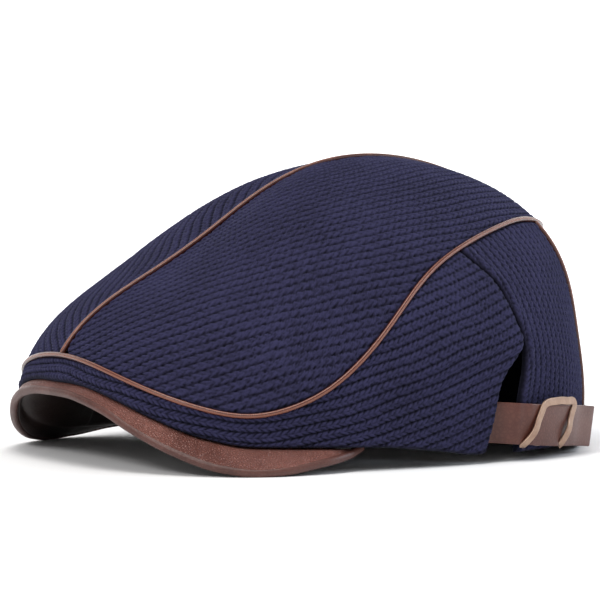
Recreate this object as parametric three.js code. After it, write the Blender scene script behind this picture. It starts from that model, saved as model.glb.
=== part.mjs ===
import * as THREE from 'three';

// Flat cap, millimetres, +Z up. The peak points to -Y, the wearer's left is +X.
// Bearings are degrees round the cap from the front centre towards the wearer's left.

// Sizes
const CAP_WIDTH = 194;
const CAP_LENGTH = 269;
const CAP_RISE = 107;
const MIDDLE_Y = -1.5;
const MIDDLE_Z = 20;
const CLOTH_WALL = 3;
const SEAM_GAP = 0.3;
const PIPING_RADIUS = 1.25;
const PIPING_LIFT = 0.4;
const PEAK_HALF_WIDTH = 100;
const PEAK_FRONT_Y = -137.5;
const PEAK_RISE = 29;
const PEAK_DEPTH = 52;
const PEAK_TOP_WALL = 1.4;
const PEAK_UNDER_WALL = 1.1;
const RIM_RADIUS = 1.85;
const LAYER_GAP = 0.5;
const STRAP_WIDTH = 17.8;
const STRAP_WALL = 1.5;
const BUCKLE_BAR = 2.2;
const BUCKLE_LENGTH = 26.6;
const BUCKLE_TILT = 0.55;
const BUCKLE_CLEARANCE = 0.9;

// Mesh steps
const TOP_STATIONS = 28;
const TOP_ROWS = 6;
const DROP_ROWS = 8;
const BACK_STATIONS = 7;
const CENTER_STATIONS = 4;
const PEAK_STATIONS = 30;
const STRAP_STATIONS = 40;
const TUBE_SIDES = 8;

// Crown form: reach of the skin as a share of a plain half-egg, by bearing (rows)
// and by rise in degrees (columns).
const FORM_RISES = [-14, 4, 20, 38, 60];
const FORM_POLE = 0.996;
const FORM = [
  { bearing: 0, reach: [1.050, 1.032, 0.976, 0.868, 0.846] },
  { bearing: 30, reach: [1.088, 1.083, 1.022, 0.916, 0.901] },
  { bearing: 60, reach: [1.100, 1.108, 1.058, 1.002, 0.966] },
  { bearing: 90, reach: [1.030, 1.038, 1.049, 1.038, 1.001] },
  { bearing: 120, reach: [0.985, 0.996, 1.010, 1.028, 1.034] },
  { bearing: 150, reach: [0.898, 0.902, 0.932, 1.024, 1.055] },
  { bearing: 180, reach: [0.886, 0.892, 0.928, 1.028, 1.054] },
];

// Band seam with the piping: bearing and rise in degrees.
const BAND = [
  { bearing: 0, rise: 13.7 },
  { bearing: 20, rise: 11.2 },
  { bearing: 34, rise: 7.0 },
  { bearing: 46, rise: 3.3 },
  { bearing: 54, rise: 2.1 },
  { bearing: 61, rise: 3.7 },
  { bearing: 68, rise: 8.0 },
  { bearing: 76, rise: 16.8 },
  { bearing: 85, rise: 28.4 },
  { bearing: 100, rise: 39.2 },
  { bearing: 120, rise: 45.2 },
  { bearing: 138, rise: 46.6 },
  { bearing: 160, rise: 43.8 },
  { bearing: 180, rise: 41.2 },
];

// Lower edge of the side piece: height as a share of the cap's rise.
const HEM = [
  { bearing: 0, height: 0.331 },
  { bearing: 6, height: 0.331 },
  { bearing: 12, height: 0.326 },
  { bearing: 18, height: 0.311 },
  { bearing: 26, height: 0.274 },
  { bearing: 35, height: 0.213 },
  { bearing: 45, height: 0.142 },
  { bearing: 54, height: 0.106 },
  { bearing: 64, height: 0.100 },
  { bearing: 76, height: 0.091 },
  { bearing: 88, height: 0.063 },
  { bearing: 97, height: 0.038 },
  { bearing: 102, height: 0.041 },
];
const BACK_HEM_HEIGHT = 0.034;

// Rear seam and the vent below it: bearing of each edge by the share of the drop.
const REAR = [
  { drop: 0.00, side: 100.6, back: 100.6 },
  { drop: 0.06, side: 102.6, back: 102.6 },
  { drop: 0.13, side: 105.0, back: 105.0 },
  { drop: 0.20, side: 107.2, back: 107.2 },
  { drop: 0.30, side: 108.2, back: 108.2 },
  { drop: 0.40, side: 109.4, back: 109.4 },
  { drop: 0.49, side: 109.8, back: 109.9 },
  { drop: 0.56, side: 106.6, back: 109.3 },
  { drop: 0.62, side: 103.8, back: 108.6 },
  { drop: 0.68, side: 102.3, back: 107.7 },
  { drop: 0.76, side: 101.4, back: 106.9 },
  { drop: 0.87, side: 100.4, back: 106.7 },
  { drop: 1.00, side: 98.9, back: 106.7 },
];

// Peak rim: shares of the half width, of the way back from the front, and of the rise.
const RIM = [
  { along: 0.00, out: 0.000, back: 0.0000, up: 1.000 },
  { along: 0.06, out: 0.130, back: 0.0015, up: 0.992 },
  { along: 0.14, out: 0.300, back: 0.0120, up: 0.915 },
  { along: 0.21, out: 0.432, back: 0.0410, up: 0.785 },
  { along: 0.28, out: 0.548, back: 0.0855, up: 0.590 },
  { along: 0.41, out: 0.748, back: 0.2045, up: 0.261 },
  { along: 0.51, out: 0.888, back: 0.3380, up: 0.061 },
  { along: 0.59, out: 0.967, back: 0.4680, up: 0.000 },
  { along: 0.68, out: 1.004, back: 0.6050, up: 0.030 },
  { along: 0.79, out: 1.006, back: 0.7650, up: 0.113 },
  { along: 0.90, out: 0.975, back: 0.8950, up: 0.180 },
  { along: 1.00, out: 0.915, back: 1.0000, up: 0.262 },
];
const RIM_RUN_BACK = 98;

// Peak board: depth and inner height by the share of the way along the rim.
const BOARD = [
  { along: 0.00, depth: 1.00, up: 1.36 },
  { along: 0.28, depth: 0.92, up: 1.28 },
  { along: 0.51, depth: 0.74, up: 1.08 },
  { along: 0.68, depth: 0.52, up: 0.82 },
  { along: 0.94, depth: 0.20, up: 0.46 },
];
const BOARD_RUN = 0.93;

// Strap: height of its lower edge and how far it stands off the skin, in millimetres.
const STRAP = [
  { bearing: 96, lower: 8.7, off: -6.4, lift: 0.0 },
  { bearing: 101, lower: 8.3, off: -5.8, lift: 0.0 },
  { bearing: 103.6, lower: 7.9, off: -2.6, lift: 0.6 },
  { bearing: 106, lower: 7.4, off: 0.9, lift: 0.8 },
  { bearing: 109, lower: 6.8, off: 0.9, lift: 2.3 },
  { bearing: 116, lower: 5.2, off: 0.9, lift: 2.3 },
  { bearing: 125, lower: 3.8, off: 0.9, lift: 2.5 },
  { bearing: 139, lower: 1.2, off: 0.9, lift: 7.5 },
  { bearing: 160, lower: 0.0, off: 0.9, lift: 7.5 },
  { bearing: 180, lower: 0.0, off: 0.9, lift: 7.5 },
];
const STRAP_START = 96;
const TAIL_END = 132.5;
const INNER_START = 112;
const BUCKLE_BEARING = 114.4;
const BACK_SEAM = 147;

// Colours
const NAVY_KNIT = '#2c2b42';
const BROWN_LEATHER = '#79504a';
const DARK_LEATHER = '#3d2622';
const PIPING_LEATHER = '#7a4a38';
const OLD_BRASS = '#a08468';

const RADIANS = Math.PI / 180;

/** Natural cubic spline through sorted knots; returns a function of x. */
function spline(xs, ys) {
  const n = xs.length;
  const bend = new Array(n).fill(0);
  const work = new Array(n).fill(0);
  for (let i = 1; i < n - 1; i += 1) {
    const before = xs[i] - xs[i - 1];
    const after = xs[i + 1] - xs[i];
    const slope = (ys[i + 1] - ys[i]) / after - (ys[i] - ys[i - 1]) / before;
    const pivot = 2 * (before + after) - before * work[i - 1];
    work[i] = after / pivot;
    bend[i] = (6 * slope - before * bend[i - 1]) / pivot;
  }
  for (let i = n - 2; i > 0; i -= 1) bend[i] -= work[i] * bend[i + 1];
  return (x) => {
    let i = 0;
    while (i < n - 2 && x > xs[i + 1]) i += 1;
    const h = xs[i + 1] - xs[i];
    const a = (xs[i + 1] - x) / h;
    const b = (x - xs[i]) / h;
    const curl = (a * a * a - a) * bend[i] + (b * b * b - b) * bend[i + 1];
    return a * ys[i] + b * ys[i + 1] + (curl * h * h) / 6;
  };
}

/** Monotone-safe interpolation of a table column by its key column. */
function column(table, key, name) {
  const xs = table.map((row) => row[key]);
  const ys = table.map((row) => row[name]);
  const n = xs.length;
  const step = xs.slice(1).map((x, i) => (ys[i + 1] - ys[i]) / (x - xs[i]));
  const slope = ys.map((_, i) => {
    if (i === 0 || i === n - 1) return i === 0 ? step[0] : step[n - 2];
    if (step[i - 1] * step[i] <= 0) return 0;
    return (2 * step[i - 1] * step[i]) / (step[i - 1] + step[i]);
  });
  return (x) => {
    let i = 0;
    while (i < n - 2 && x > xs[i + 1]) i += 1;
    const h = xs[i + 1] - xs[i];
    const t = Math.min(1, Math.max(0, (x - xs[i]) / h));
    const t2 = t * t;
    const t3 = t2 * t;
    const ends = (2 * t3 - 3 * t2 + 1) * ys[i] + (3 * t2 - 2 * t3) * ys[i + 1];
    return ends + h * ((t3 - 2 * t2 + t) * slope[i] + (t3 - t2) * slope[i + 1]);
  };
}

/** The same column mirrored about a zero slope at the front centre. */
function levelColumn(table, name) {
  const smooth = spline(
    [...table.slice(1).reverse().map((row) => -row.bearing), ...table.map((row) => row.bearing)],
    [...table.slice(1).reverse().map((row) => row[name]), ...table.map((row) => row[name])],
  );
  return (bearing) => smooth(Math.abs(bearing));
}

/** The form table carried right round the cap, with some overlap at the back. */
const formAround = [-8, -7, -6, -5, -4, -3, -2, -1, 0, 1, 2, 3, 4, 5, 6, 7, 8].map((k) => {
  const row = Math.abs(k) > 6 ? 12 - Math.abs(k) : Math.abs(k);
  return { bearing: Math.sign(k) * (Math.abs(k) > 6 ? 360 - FORM[row].bearing : FORM[row].bearing), row };
});
const formByBearing = FORM_RISES.map((_, c) => spline(
  formAround.map((place) => place.bearing),
  formAround.map((place) => FORM[place.row].reach[c]),
));
const formKnots = [...FORM_RISES, 90, ...FORM_RISES.map((rise) => 180 - rise).reverse()];

/** Share of the plain half-egg that the crown reaches at a bearing and rise. */
function reachShare(bearing, rise) {
  const here = ((bearing + 540) % 360) - 180;
  const across = ((bearing + 720) % 360) - 180;
  const near = formByBearing.map((f) => f(here));
  const far = formByBearing.map((f) => f(across)).reverse();
  return spline(formKnots, [...near, FORM_POLE, ...far])(rise);
}

/** Point of the crown's outer skin at a bearing and a rise, both in degrees. */
function skin(bearing, rise) {
  const share = reachShare(bearing, rise);
  const level = share * Math.cos(rise * RADIANS);
  return new THREE.Vector3(
    0.5 * CAP_WIDTH * level * Math.sin(bearing * RADIANS),
    MIDDLE_Y - 0.5 * CAP_LENGTH * level * Math.cos(bearing * RADIANS),
    MIDDLE_Z + CAP_RISE * share * Math.sin(rise * RADIANS),
  );
}

/** Rise in degrees at which the skin has a given height above the ground. */
function riseAt(bearing, height) {
  let low = -25;
  let high = 60;
  for (let i = 0; i < 30; i += 1) {
    const mid = 0.5 * (low + high);
    if (skin(bearing, mid).z < height) low = mid;
    else high = mid;
  }
  return 0.5 * (low + high);
}

/** Outward unit normal of the skin, from points a small step away in plan angles. */
function skinNormal(bearing, rise) {
  const flat = (u, v) => {
    const r = Math.hypot(u, v);
    return skin(Math.atan2(u, -v) / RADIANS, 90 * (1 - r));
  };
  const r = 1 - rise / 90;
  const u = r * Math.sin(bearing * RADIANS);
  const v = -r * Math.cos(bearing * RADIANS);
  const step = 0.004;
  const du = flat(u + step, v).sub(flat(u - step, v));
  const dv = flat(u, v + step).sub(flat(u, v - step));
  return du.cross(dv).normalize();
}

/** Point on the skin moved outwards (inwards when negative) along its normal. */
function offSkin(bearing, rise, out) {
  return skin(bearing, rise).addScaledVector(skinNormal(bearing, rise), out);
}

const bandRise = levelColumn(BAND, 'rise');
const hemShare = column(HEM, 'bearing', 'height');
const hemHeight = (bearing) => CAP_RISE * hemShare(Math.abs(bearing));
const sideEdge = column(REAR, 'drop', 'side');
const backEdge = column(REAR, 'drop', 'back');

/** Degrees of bearing that cover a length along the skin near a bearing. */
function degreesFor(length, bearing) {
  const reach = skin(bearing + 1, 0).distanceTo(skin(bearing, 0));
  return length / reach;
}


/** Closed mesh from quads and triangles given as lists of corner points. */
function closedMesh(name, faces, look) {
  const corners = [];
  for (const face of faces) {
    for (let k = 1; k < face.length - 1; k += 1) {
      corners.push(face[0], face[k], face[k + 1]);
    }
  }
  const geometry = new THREE.BufferGeometry();
  geometry.setFromPoints(corners);
  geometry.computeVertexNormals();
  const mesh = new THREE.Mesh(geometry, new THREE.MeshStandardMaterial(look));
  mesh.name = name;
  return mesh;
}

/** Faces of a slab between two grids of points with the same counts. */
function slabFaces(outer, inner) {
  const faces = [];
  const last = outer.length - 1;
  const end = outer[0].length - 1;
  for (let i = 0; i < last; i += 1) {
    for (let j = 0; j < end; j += 1) {
      faces.push([outer[i][j], outer[i + 1][j], outer[i + 1][j + 1], outer[i][j + 1]]);
      faces.push([inner[i][j], inner[i][j + 1], inner[i + 1][j + 1], inner[i + 1][j]]);
    }
    faces.push([outer[i][0], inner[i][0], inner[i + 1][0], outer[i + 1][0]]);
    faces.push([outer[i][end], outer[i + 1][end], inner[i + 1][end], inner[i][end]]);
  }
  for (let j = 0; j < end; j += 1) {
    faces.push([outer[0][j], outer[0][j + 1], inner[0][j + 1], inner[0][j]]);
    faces.push([outer[last][j], inner[last][j], inner[last][j + 1], outer[last][j + 1]]);
  }
  return faces;
}

/** Faces with their turning direction reversed, for a mirrored grid. */
function flipped(faces) {
  return faces.map((face) => [...face].reverse());
}

/** Closed tube of round section along points, each with an outward direction. */
function tubeFaces(points, outs, radius, sides, closed) {
  const rings = points.map((point, i) => {
    const before = points[closed ? (i + points.length - 1) % points.length : Math.max(0, i - 1)];
    const after = points[closed ? (i + 1) % points.length : Math.min(points.length - 1, i + 1)];
    const along = after.clone().sub(before).normalize();
    const out = outs[i].clone().addScaledVector(along, -outs[i].dot(along)).normalize();
    const across = along.clone().cross(out);
    return Array.from({ length: sides }, (_, k) => {
      const turn = (2 * Math.PI * (k + 0.5)) / sides;
      return point.clone()
        .addScaledVector(out, radius * Math.cos(turn))
        .addScaledVector(across, radius * Math.sin(turn));
    });
  });
  const faces = [];
  const spans = closed ? rings.length : rings.length - 1;
  for (let i = 0; i < spans; i += 1) {
    const a = rings[i];
    const b = rings[(i + 1) % rings.length];
    for (let k = 0; k < sides; k += 1) {
      const m = (k + 1) % sides;
      faces.push([a[k], a[m], b[m], b[k]]);
    }
  }
  if (!closed) {
    faces.push([...rings[0]].reverse());
    faces.push(rings[rings.length - 1]);
  }
  return faces;
}

const knit = { color: NAVY_KNIT, roughness: 0.95, metalness: 0 };
const pipingLook = { color: PIPING_LEATHER, roughness: 0.35, metalness: 0 };
const leatherLook = { color: BROWN_LEATHER, roughness: 0.5, metalness: 0 };
const underLook = { color: DARK_LEATHER, roughness: 0.55, metalness: 0 };
const brassLook = { color: OLD_BRASS, roughness: 0.35, metalness: 0.9 };

/** Turns flat disc coordinates into a bearing and a rise. */
function fromDisc(u, v) {
  return [Math.atan2(u, -v) / RADIANS, 90 * (1 - Math.hypot(u, v))];
}

/** Stations of the centre seam and band seam, as disc coordinates. */
function topStation(share) {
  const front = -(1 - bandRise(0) / 90);
  const back = 1 - bandRise(180) / 90;
  const bearing = 180 * (share + 0.075 * Math.sin(2 * Math.PI * share));
  const r = 1 - bandRise(bearing) / 90;
  const ease = share + 0.055 * Math.sin(2 * Math.PI * share);
  return {
    middle: front + (back - front) * ease,
    u: r * Math.sin(bearing * RADIANS),
    v: -r * Math.cos(bearing * RADIANS),
    bearing,
  };
}

const topShares = Array.from(
  { length: TOP_STATIONS + 1 },
  (_, i) => 0.012 + (0.976 * i) / TOP_STATIONS,
);

/** One half of the crown's top, between the centre seam and the band seam. */
function crownTop(side) {
  const tuck = SEAM_GAP / CAP_WIDTH;
  const grids = [0, -CLOTH_WALL].map((out) => topShares.map((share) => {
    const s = topStation(share);
    return Array.from({ length: TOP_ROWS + 1 }, (_, j) => {
      const t = j / TOP_ROWS;
      const shrink = 1 - t * tuck;
      const u = side * (tuck + (s.u * shrink - tuck) * t);
      const v = s.middle + (s.v * shrink - s.middle) * t;
      const point = offSkin(...fromDisc(u, v), out);
      if (j === 0) point.x = side * 0.5 * SEAM_GAP;
      return point;
    });
  }));
  const faces = slabFaces(grids[0], grids[1]);
  const name = side > 0 ? 'crown_top_left' : 'crown_top_right';
  return closedMesh(name, side > 0 ? flipped(faces) : faces, knit);
}

/** Point of the side piece at a share along to the rear edge and a share of the drop. */
function sideNode(along, drop, out) {
  const bearing = along * (sideEdge(drop) - degreesFor(0.6 * SEAM_GAP, 104));
  const top = skin(bearing, bandRise(bearing)).z - SEAM_GAP;
  const height = top + (hemHeight(bearing) - top) * drop;
  const point = offSkin(bearing, riseAt(bearing, height), out);
  if (drop === 1) point.z = height;
  return point;
}

/** Side piece: one strip from vent to vent round the front, under the band seam. */
function crownSide() {
  const half = topShares.map((share) => topStation(share).bearing / sideEdge(0));
  const ahead = [...half.filter((along) => along < 0.97), 1];
  const stations = [...[...ahead].reverse().map((along) => -along), 0, ...ahead];
  const grids = [0, -CLOTH_WALL].map((out) => stations.map((along) => (
    Array.from({ length: DROP_ROWS + 1 }, (_, j) => sideNode(along, j / DROP_ROWS, out))
  )));
  return closedMesh('crown_side', flipped(slabFaces(grids[0], grids[1])), knit);
}

/** Grid of a back piece between two bearing functions of the drop. */
function backFaces(first, last, stations) {
  const grids = [0, -CLOTH_WALL].map((out) => (
    Array.from({ length: stations + 1 }, (_, i) => (
      Array.from({ length: DROP_ROWS + 1 }, (__, j) => {
        const drop = j / DROP_ROWS;
        const bearing = first(drop) + ((last(drop) - first(drop)) * i) / stations;
        const turned = bearing > 180 ? bearing - 360 : bearing;
        const top = skin(turned, bandRise(turned)).z - SEAM_GAP;
        const height = top + (CAP_RISE * BACK_HEM_HEIGHT - top) * drop;
        return offSkin(turned, riseAt(turned, height), out);
      })
    ))
  ));
  return slabFaces(grids[0], grids[1]);
}

/** Back piece of one side, from the rear seam and vent to the piped back seam. */
function crownBack(side) {
  const gap = degreesFor(0.8 * SEAM_GAP, BACK_SEAM);
  const faces = backFaces((drop) => backEdge(drop) + gap, () => BACK_SEAM - gap, BACK_STATIONS);
  const turned = faces.map((face) => face.map((p) => new THREE.Vector3(side * p.x, p.y, p.z)));
  const name = side > 0 ? 'crown_back_left' : 'crown_back_right';
  return closedMesh(name, side > 0 ? flipped(turned) : turned, knit);
}

/** Centre piece of the back, between the two piped back seams. */
function crownBackCenter() {
  const gap = degreesFor(0.8 * SEAM_GAP, BACK_SEAM);
  const faces = backFaces(() => BACK_SEAM + gap, () => 360 - BACK_SEAM - gap, 2 * CENTER_STATIONS);
  return closedMesh('crown_back_center', flipped(faces), knit);
}

const pipingOut = PIPING_RADIUS + PIPING_LIFT;

/** Piping of the centre seam over the crown. */
function pipingCrown() {
  const clear = 2 * PIPING_RADIUS + SEAM_GAP;
  const ends = [topShares[0] + clear / CAP_LENGTH, topShares[TOP_STATIONS] - clear / CAP_LENGTH];
  const shares = [ends[0], ...topShares.filter((s) => s > ends[0] && s < ends[1]), ends[1]];
  const points = [];
  const outs = [];
  for (const share of shares) {
    const place = fromDisc(0, topStation(share).middle);
    const out = skinNormal(...place).setX(0).normalize();
    points.push(skin(...place).setX(0).addScaledVector(out, pipingOut));
    outs.push(out);
  }
  return closedMesh('piping_crown', tubeFaces(points, outs, PIPING_RADIUS, TUBE_SIDES, false), pipingLook);
}

/** Piping of the band seam: a closed ring round the crown. */
function pipingBand() {
  const half = topShares.map((share) => topStation(share).bearing);
  const bearings = [0, ...half, 180, ...[...half].reverse().map((b) => -b)];
  const points = bearings.map((b) => {
    const point = offSkin(b, bandRise(b), pipingOut);
    return b === 180 || b === 0 ? point.setX(0) : point;
  });
  const outs = bearings.map((b) => {
    const out = skinNormal(b, bandRise(b));
    return b === 180 || b === 0 ? out.setX(0).normalize() : out;
  });
  return closedMesh('piping_band', tubeFaces(points, outs, PIPING_RADIUS, TUBE_SIDES, true), pipingLook);
}

/** Piping down one back seam, from the band seam to just above the strap. */
function pipingBack(side) {
  const top = skin(BACK_SEAM, bandRise(BACK_SEAM)).z - 2 * PIPING_RADIUS - SEAM_GAP;
  const bottom = strapLower(BACK_SEAM) + STRAP_WIDTH + SEAM_GAP + 0.2;
  const points = [];
  const outs = [];
  for (let i = 0; i <= DROP_ROWS; i += 1) {
    const height = top + ((bottom - top) * i) / DROP_ROWS;
    const rise = riseAt(BACK_SEAM, height);
    const out = skinNormal(BACK_SEAM, rise);
    const point = skin(BACK_SEAM, rise).addScaledVector(out, pipingOut);
    points.push(point.setX(side * point.x));
    outs.push(out.setX(side * out.x));
  }
  const name = side > 0 ? 'piping_back_left' : 'piping_back_right';
  return closedMesh(name, tubeFaces(points, outs, PIPING_RADIUS, TUBE_SIDES, false), pipingLook);
}

const rimOut = column(RIM, 'along', 'out');
const rimBack = column(RIM, 'along', 'back');
const rimUp = column(RIM, 'along', 'up');
const boardDepth = column(BOARD, 'along', 'depth');
const boardUp = column(BOARD, 'along', 'up');

/** Centre of the rim binding at a signed share of the way along from the front. */
function rimPoint(along) {
  const a = Math.abs(along);
  const seat = RIM_RADIUS * Math.cos(Math.PI / TUBE_SIDES);
  return new THREE.Vector3(
    Math.sign(along) * PEAK_HALF_WIDTH * rimOut(a),
    PEAK_FRONT_Y + RIM_RUN_BACK * rimBack(a),
    seat + PEAK_RISE * rimUp(a),
  );
}

/** Height just clear of the hem above a point, taking the lowest hem nearby. */
function hemAbove(point) {
  const x = point.x / CAP_WIDTH;
  const bearing = Math.atan2(x, (MIDDLE_Y - point.y) / CAP_LENGTH) / RADIANS;
  return Math.min(...[-3, 0, 3].map((b) => hemHeight(bearing + b))) - LAYER_GAP;
}

/** Cross-section of the peak's upper face at a share along: five points going inwards. */
function boardSection(along) {
  const rim = rimPoint(along);
  const run = rimPoint(along + 0.01).sub(rimPoint(along - 0.01));
  const inward = new THREE.Vector3(-run.y, run.x, 0).normalize();
  const bearing = Math.atan2(rim.x / CAP_WIDTH, (MIDDLE_Y - rim.y) / CAP_LENGTH) / RADIANS;
  const hem = hemHeight(bearing) - LAYER_GAP;
  const outerHem = skin(bearing, riseAt(bearing, hem));
  const reach = outerHem.sub(rim).dot(inward);
  const edge = RIM_RADIUS + LAYER_GAP;
  const under = Math.max(reach - 0.4, edge + 2.0);
  const behind = Math.max(under + CLOTH_WALL + 1.6, edge + 5.5);
  const depth = Math.max(behind + 2, PEAK_DEPTH * boardDepth(Math.abs(along)));
  const inner = RIM_RADIUS + PEAK_RISE * boardUp(Math.abs(along));
  const start = Math.min(rim.z + 0.5 * RIM_RADIUS, hem - 0.6);
  const rows = [
    [edge, start],
    [under, hem],
    [behind, hem + 0.05],
    [0.5 * (behind + depth), 0.5 * (hem + Math.max(inner, hem + 1)) + 1.2],
    [depth, Math.max(inner, hem + 1)],
  ];
  return rows.map(([w, z], row) => {
    const point = rim.clone().addScaledVector(inward, w);
    return point.setZ(row < 1 || row > 2 ? z : hemAbove(point));
  });
}

/** A layer of the peak lying a distance below its upper face. */
function peakLayer(name, below, wall, look) {
  const sections = Array.from({ length: PEAK_STATIONS + 1 }, (_, i) => (
    boardSection(BOARD_RUN * ((2 * i) / PEAK_STATIONS - 1))
  ));
  const normal = (i, j) => {
    const n = sections.length - 1;
    const m = sections[0].length - 1;
    const side = sections[Math.min(n, i + 1)][j].clone().sub(sections[Math.max(0, i - 1)][j]);
    const deep = sections[i][Math.min(m, j + 1)].clone().sub(sections[i][Math.max(0, j - 1)]);
    return side.cross(deep).normalize();
  };
  const layer = (depth) => sections.map((row, i) => (
    row.map((point, j) => point.clone().addScaledVector(normal(i, j), -depth))
  ));
  return closedMesh(name, slabFaces(layer(below), layer(below + wall)), look);
}

/** Rolled binding along the peak's edge. */
function peakRim() {
  const count = 40;
  const points = [];
  const outs = [];
  for (let i = 0; i <= count; i += 1) {
    points.push(rimPoint((2 * i) / count - 1));
    outs.push(new THREE.Vector3(0, 0, -1));
  }
  return closedMesh('peak_rim', tubeFaces(points, outs, RIM_RADIUS, TUBE_SIDES, false), leatherLook);
}

const strapLower = column(STRAP, 'bearing', 'lower');
const strapOff = column(STRAP, 'bearing', 'off');
const strapLift = column(STRAP, 'bearing', 'lift');

/** Corner of the strap: a bearing, a share up its width and a distance outwards. */
function strapPoint(bearing, up, out) {
  const b = Math.abs(bearing > 180 ? bearing - 360 : bearing);
  const height = strapLower(b) + STRAP_WIDTH * up;
  const half = 0.5 * STRAP_WIDTH;
  const place = riseAt(b, half);
  const point = skin(b, riseAt(b, height));
  const level = skinNormal(b, place).setZ(0).normalize();
  point.addScaledVector(level, strapOff(b) + out);
  if (bearing > 180) point.x = -point.x;
  return point.setZ(height);
}

/** A run of strap between two bearings, standing a given distance off the skin. */
function strapRun(name, from, to, stations, extra) {
  const grids = [STRAP_WALL, 0].map((out) => (
    Array.from({ length: stations + 1 }, (_, i) => {
      const bearing = from + ((to - from) * i) / stations;
      return [0, 0.5, 1].map((up) => strapPoint(bearing, up, out + extra(bearing)));
    })
  ));
  return closedMesh(name, slabFaces(grids[0], grids[1]), leatherLook);
}

/** Buckle: a slanted rounded frame standing in front of the outer strap. */
function buckleFrame() {
  const perDegree = strapPoint(BUCKLE_BEARING - 2, 0.5, 0)
    .distanceTo(strapPoint(BUCKLE_BEARING + 2, 0.5, 0)) / 4;
  const middle = 0.5 * BUCKLE_LENGTH - 0.5 * BUCKLE_BAR;
  const low = strapLower(BUCKLE_BEARING) + 0.2;
  const high = strapLower(BUCKLE_BEARING) + STRAP_WIDTH + 0.5 * BUCKLE_BAR;
  const clear = STRAP_WALL + BUCKLE_CLEARANCE + 0.5 * BUCKLE_BAR;
  const corners = [[-1, 0], [-1, 0.5], [-1, 0.94], [-0.8, 1], [-0.4, 1.05], [0, 1.07],
    [0.4, 1.05], [0.8, 1], [1, 0.94], [1, 0.5], [1, 0], [0.8, -0.05], [0, -0.05], [-0.8, -0.05]];
  const points = corners.map(([a, up]) => {
    const shift = a * middle + BUCKLE_TILT * (up - 0.5) * STRAP_WIDTH;
    const place = BUCKLE_BEARING + shift / perDegree;
    const drop = -0.05 * shift;
    const height = Math.max(low, low + (high - low - 1.2) * Math.max(0, up) + drop);
    return strapPoint(place, 0.5, strapLift(place) + clear).setZ(height);
  });
  const outs = points.map(() => (
    strapPoint(BUCKLE_BEARING, 0, 1).sub(strapPoint(BUCKLE_BEARING, 0, 0))
  ));
  return closedMesh('buckle_frame', tubeFaces(points, outs, 0.5 * BUCKLE_BAR, TUBE_SIDES, true), brassLook);
}

const cap = new THREE.Group();
cap.name = 'flat_cap';
cap.add(crownTop(1));
cap.add(crownTop(-1));
cap.add(crownSide());
cap.add(crownBack(1));
cap.add(crownBack(-1));
cap.add(crownBackCenter());
cap.add(pipingCrown());
cap.add(pipingBand());
cap.add(pipingBack(1));
cap.add(pipingBack(-1));
cap.add(peakLayer('peak_top', 0, PEAK_TOP_WALL, leatherLook));
cap.add(peakLayer('peak_under', PEAK_TOP_WALL + LAYER_GAP, PEAK_UNDER_WALL, underLook));
cap.add(peakRim());
cap.add(strapRun('strap_left', STRAP_START, TAIL_END, STRAP_STATIONS / 2, strapLift));
cap.add(strapRun('strap_right', INNER_START, 360 - STRAP_START, STRAP_STATIONS, () => 0));
cap.add(buckleFrame());

// The origin goes to the middle of the bounding box, on the ground.
const bounds = new THREE.Box3().setFromObject(cap);
const centre = bounds.getCenter(new THREE.Vector3());
for (const mesh of cap.children) mesh.geometry.translate(-centre.x, -centre.y, -bounds.min.z);

export default cap;
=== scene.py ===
"""Knitted flat cap with leather piping, peak and strap, built round its CAD solids."""

import bpy
import numpy as np
from bpy.props import FloatProperty, FloatVectorProperty, PointerProperty
from mathutils import Matrix, Vector


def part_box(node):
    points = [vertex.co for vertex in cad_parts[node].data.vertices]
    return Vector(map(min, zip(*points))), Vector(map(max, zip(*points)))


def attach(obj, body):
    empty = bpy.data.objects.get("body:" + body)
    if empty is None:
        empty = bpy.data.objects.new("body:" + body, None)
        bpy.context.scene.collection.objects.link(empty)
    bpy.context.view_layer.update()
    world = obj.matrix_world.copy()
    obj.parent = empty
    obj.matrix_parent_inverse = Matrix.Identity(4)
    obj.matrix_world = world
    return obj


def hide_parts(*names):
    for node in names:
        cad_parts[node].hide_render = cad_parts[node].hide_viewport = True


bl_info = {
    "name": "Knitted Flat Cap",
    "version": (1, 0, 0),
    "blender": (4, 5, 0),
    "location": "3D Viewport > Sidebar > Flat Cap",
    "description": "Builds a knitted flat cap with a leather peak, piping and buckled strap",
    "category": "Add Mesh",
}

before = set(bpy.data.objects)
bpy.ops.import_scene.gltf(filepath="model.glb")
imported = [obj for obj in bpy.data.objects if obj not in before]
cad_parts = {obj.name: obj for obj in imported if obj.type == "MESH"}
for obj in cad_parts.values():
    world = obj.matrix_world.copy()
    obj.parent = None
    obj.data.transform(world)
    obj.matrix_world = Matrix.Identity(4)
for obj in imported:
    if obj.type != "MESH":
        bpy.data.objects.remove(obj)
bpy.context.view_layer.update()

# ---------------------------------------------------------------- cap sizes, millimetres
MM = 0.001
CAP_WIDTH = 194.0
CAP_LENGTH = 269.0
CAP_RISE = 107.0
MIDDLE_Y = -1.5
MIDDLE_Z = 20.0
PEAK_HALF_WIDTH = 100.0
PEAK_FRONT_Y = -137.5
PEAK_RISE = 29.0
PEAK_DEPTH = 52.0
RIM_RADIUS = 1.85
RIM_SEAT = RIM_RADIUS * np.cos(np.pi / 8)
RIM_RUN_BACK = 98.0
LAYER_GAP = 0.5
STRAP_WIDTH = 17.8
STRAP_WALL = 1.5
BACK_SEAM = 147.0

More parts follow.
